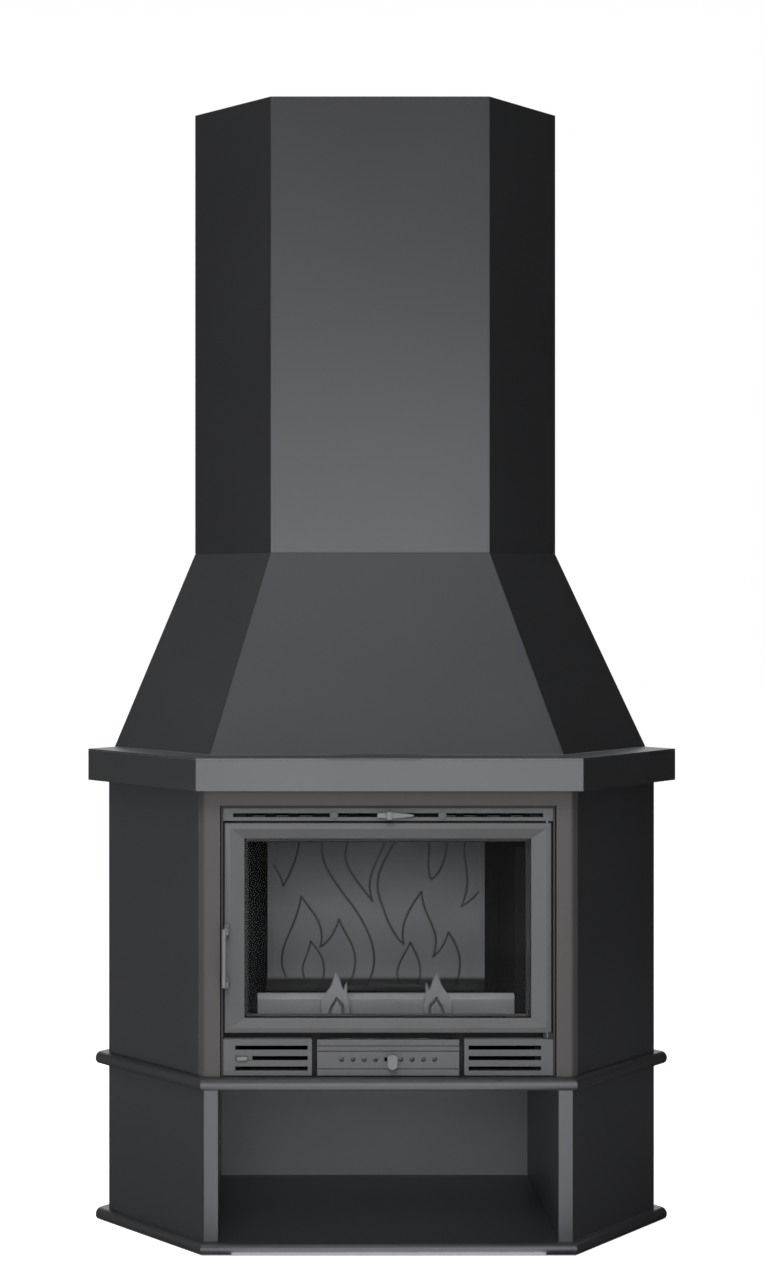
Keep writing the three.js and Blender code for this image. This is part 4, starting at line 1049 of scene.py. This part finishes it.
bend_low, bend_high = box_mm("flue_bend")
bend_radius = bend_high[0]
foot_y = collar_axis[1]
head_y = pipe_axis[1]
turn_low = box_mm("mantel_fascia")[0][2] + turn_clear
turn_high = bend_high[2] - turn_clear
ease = ease_share * (turn_high - turn_low)
bend_knots = [
    ((foot_y, bend_low[2]), (foot_y, bend_low[2]), (foot_y, bend_low[2] + foot_reach)),
    ((foot_y, turn_low - knot_reach), (foot_y, turn_low), (foot_y, turn_low + ease)),
    ((head_y, turn_high - ease), (head_y, turn_high), (head_y, turn_high + knot_reach)),
    ((head_y, bend_high[2] - knot_reach), (head_y, bend_high[2]), (head_y, bend_high[2])),
]
bend_mesh = swept_tube("bend", bend_knots, bend_radius, wall)
double_bend = add_piece("flue_double_bend", bend_mesh, "flue_bend")
crease_smooth(double_bend, 40)
print("bend:", round(bend_low[2]), "to", round(bend_high[2]), "mm")

# %% [markdown]
# ## The seam of the flue box
# The flue box stands on the hood with a hair's gap, and light would shine through it. A folded
# strip inside covers the joint. It is a bent ribbon: the inside line of the box's front and its
# two slanting sides, given a height and a thickness. It replaces nothing.

# %% The joint strip
strip_height = 18
strip_thickness = 1.2
strip_inset = 2.8  # behind the outer face: the sheet and a small gap
half_fold = math.radians(45 / 2)
flue_low, flue_high = box_mm("flue_front")
flue_half = flue_high[0]
side_end = box_mm("flue_side_right")[1][0]
wall_clear = 2


def strip_line(inset):
    """The ribbon's line from the left wall round the front to the right wall, as (x, y)."""
    corner_x = flue_half - inset * math.tan(half_fold)
    corner_y = flue_low[1] + inset
    reach = side_end - flue_half - wall_clear
    right = [(corner_x, corner_y), (corner_x + reach, corner_y + reach)]
    left = [(-x, y) for x, y in reversed(right)]
    return left + right


outer_line, inner_line = strip_line(strip_inset), strip_line(strip_inset + strip_thickness)
ring = outer_line + inner_line[::-1]
strip_low = flue_low[2] - strip_height / 2
points = [(x, y, strip_low + rise) for rise in (0, strip_height) for x, y in ring]
count = len(ring)
faces = [(i, (i + 1) % count, (i + 1) % count + count, i + count) for i in range(count)]
for k in range(len(outer_line) - 1):
    a, b, c, d = k, k + 1, count - 2 - k, count - 1 - k
    faces.append((d, c, b, a))
    faces.append((a + count, b + count, c + count, d + count))
strip_mesh = mesh_of("flue_joint_strip", points, faces)
joint_strip = add_piece("flue_joint_strip", strip_mesh, "flue_front", replace=False)
crease_smooth(joint_strip, 20)
print("joint strip at", round(flue_low[2]), "mm")

# %% [markdown]
# ## The studio
# The ground is a pale floor that keeps the shadow, and past it everything is white. White that
# comes from a stronger lamp would burn the object out, so the floor and the air around it shine
# only for rays that look at them: straight from the lens, off a mirror or through glass.

# %% White ground and air
def seen_white(tree, strength, lit):
    """A factor that is strength for looking rays and lit for the rays that carry light."""
    path = node(tree, "ShaderNodeLightPath")
    first = node(tree, "ShaderNodeMath", operation="MAXIMUM")
    second = node(tree, "ShaderNodeMath", operation="MAXIMUM")
    tree.links.new(path.outputs["Is Camera Ray"], first.inputs[0])
    tree.links.new(path.outputs["Is Glossy Ray"], first.inputs[1])
    tree.links.new(first.outputs[0], second.inputs[0])
    tree.links.new(path.outputs["Is Transmission Ray"], second.inputs[1])
    blend = node(tree, "ShaderNodeMapRange")
    blend.inputs["To Min"].default_value = lit
    blend.inputs["To Max"].default_value = strength
    tree.links.new(second.outputs[0], blend.inputs["Value"])
    return blend.outputs["Result"]


air_light = 0.24
floor_glow = 0.80
floor_size = 40
world = bpy.data.worlds.new("white_air")
world.use_nodes = True
background = world.node_tree.nodes["Background"]
background.inputs["Color"].default_value = (1, 1, 1, 1)
air_strength = seen_white(world.node_tree, 1.0, air_light)
world.node_tree.links.new(air_strength, background.inputs["Strength"])
bpy.context.scene.world = world
bpy.context.scene.view_settings.view_transform = "Standard"

floor_mesh = bpy.data.meshes.new("floor")
half = floor_size / 2
floor_mesh.from_pydata([(-half, -half, 0), (half, -half, 0), (half, half, 0), (-half, half, 0)],
                       [], [(0, 1, 2, 3)])
floor = bpy.data.objects.new("floor", floor_mesh)
floor.location.z = -0.5 * mm  # a hair under the base plate
bpy.context.scene.collection.objects.link(floor)
ground = bpy.data.materials.new("pale_ground")
ground.use_nodes = True
ground_shader = ground.node_tree.nodes["Principled BSDF"]
ground_shader.inputs["Base Color"].default_value = (0.86, 0.86, 0.86, 1)
ground_shader.inputs["Roughness"].default_value = 0.9
ground_shader.inputs["Specular IOR Level"].default_value = 0.1
ground_shader.inputs["Emission Color"].default_value = (1, 1, 1, 1)
ground_glow = seen_white(ground.node_tree, floor_glow, 0.0)
ground.node_tree.links.new(ground_glow, ground_shader.inputs["Emission Strength"])
dress(floor, ground)
print("floor and air are white to the lens")

# %% [markdown]
# Four soft lamps light the set from the front, the left and behind. Satin paint would mirror
# them as bright patches, so they are hidden from mirroring rays and only light the set.

# %% Lamps
def soft_lamp(name, place, target, width, height, watts):
    """A rectangular lamp at a place, turned towards a target, that no surface mirrors."""
    light = bpy.data.lights.new(name, "AREA")
    light.shape = "RECTANGLE"
    light.size = width
    light.size_y = height
    light.energy = watts
    lamp = bpy.data.objects.new(name, light)
    lamp.location = place
    lamp.rotation_euler = (Vector(target) - Vector(place)).to_track_quat("-Z", "Y").to_euler()
    lamp.visible_glossy = False
    bpy.context.scene.collection.objects.link(lamp)
    print(name, watts, "W")


soft_lamp("key_lamp", (-0.6, -2.3, 3.3), (0, -0.3, 0.6), 2.4, 1.2, 170)
soft_lamp("front_fill", (-0.3, -3.4, 1.9), (0, 0, 0.6), 2.0, 1.2, 42)
soft_lamp("left_fill", (-3.2, -1.4, 1.8), (-0.3, 0, 1.0), 1.6, 2.0, 12)
soft_lamp("rear_fill", (0.6, 3.4, 2.4), (0, 0.3, 1.0), 2.6, 2.0, 16)

# %% [markdown]
# What the paint mirrors is set with boards, as a product photographer does. The front faces
# mirror the white air between them. The slanting sides mirror dark boards to the left and right,
# the left ones a little lighter near the floor. Boards lying on the floor tone down the white
# that the sheets would mirror there, and a dark one high in front makes the flue box fade
# towards its top. Only mirroring rays see the boards: the lens doesn't, and they throw no shadow.

# %% Boards
side_x, near_y, far_y = 1.5, -2.3, 2.2  # metres, as all these
board_split, board_top = 1.15, 5.0
board_foot = 0.01
floor_board_inner, floor_board_height = 0.30, 0.004
front_board_near, front_board_far, front_board_height = -3.4, -0.375, 0.003
high_foot, high_y, high_lean, high_half = 1.9, -3.2, 1.4, 2.6


def board(name, corners, glow):
    """A board seen only in reflections, with an even grey glow."""
    paint = bpy.data.materials.new(name)
    paint.use_nodes = True
    shader = paint.node_tree.nodes["Principled BSDF"]
    shader.inputs["Base Color"].default_value = (0.01, 0.01, 0.01, 1)
    shader.inputs["Specular IOR Level"].default_value = 0.0
    shader.inputs["Emission Color"].default_value = (1, 1, 1, 1)
    shader.inputs["Emission Strength"].default_value = glow
    mesh = bpy.data.meshes.new(name)
    mesh.from_pydata(corners, [], [(0, 1, 2, 3)])
    panel = bpy.data.objects.new(name, mesh)
    bpy.context.scene.collection.objects.link(panel)
    panel.visible_camera = False
    panel.visible_shadow = False
    panel.visible_diffuse = False
    panel.visible_transmission = False
    dress(panel, paint)
    print(name, "glows", glow)


def side_board(name, x, low, high, glow):
    """An upright board that runs from front to back at one side of the set."""
    board(name, [(x, near_y, low), (x, far_y, low), (x, far_y, high), (x, near_y, high)], glow)


side_board("left_low_board", -side_x, board_foot, board_split, 0.10)
side_board("left_high_board", -side_x, board_split, board_top, 0.02)
side_board("right_board", side_x, board_foot, board_top, 0.0)
for name, side, glow in (("left_floor_board", -1, 0.06), ("right_floor_board", 1, 0.0)):
    inner, outer, z = side * floor_board_inner, side * side_x, floor_board_height
    board(name, [(inner, -0.44, z), (outer, -1.7, z), (outer, far_y, z), (inner, far_y, z)], glow)
near, far, z = front_board_near, front_board_far, front_board_height
board("front_floor_board", [(-side_x, near, z), (side_x, near, z), (side_x, far, z),
                            (-side_x, far, z)], 0.60)
top_y = high_y + high_lean
board("high_board", [(-high_half, high_y, high_foot), (high_half, high_y, high_foot),
                     (high_half, top_y, board_top), (-high_half, top_y, board_top)], 0.06)
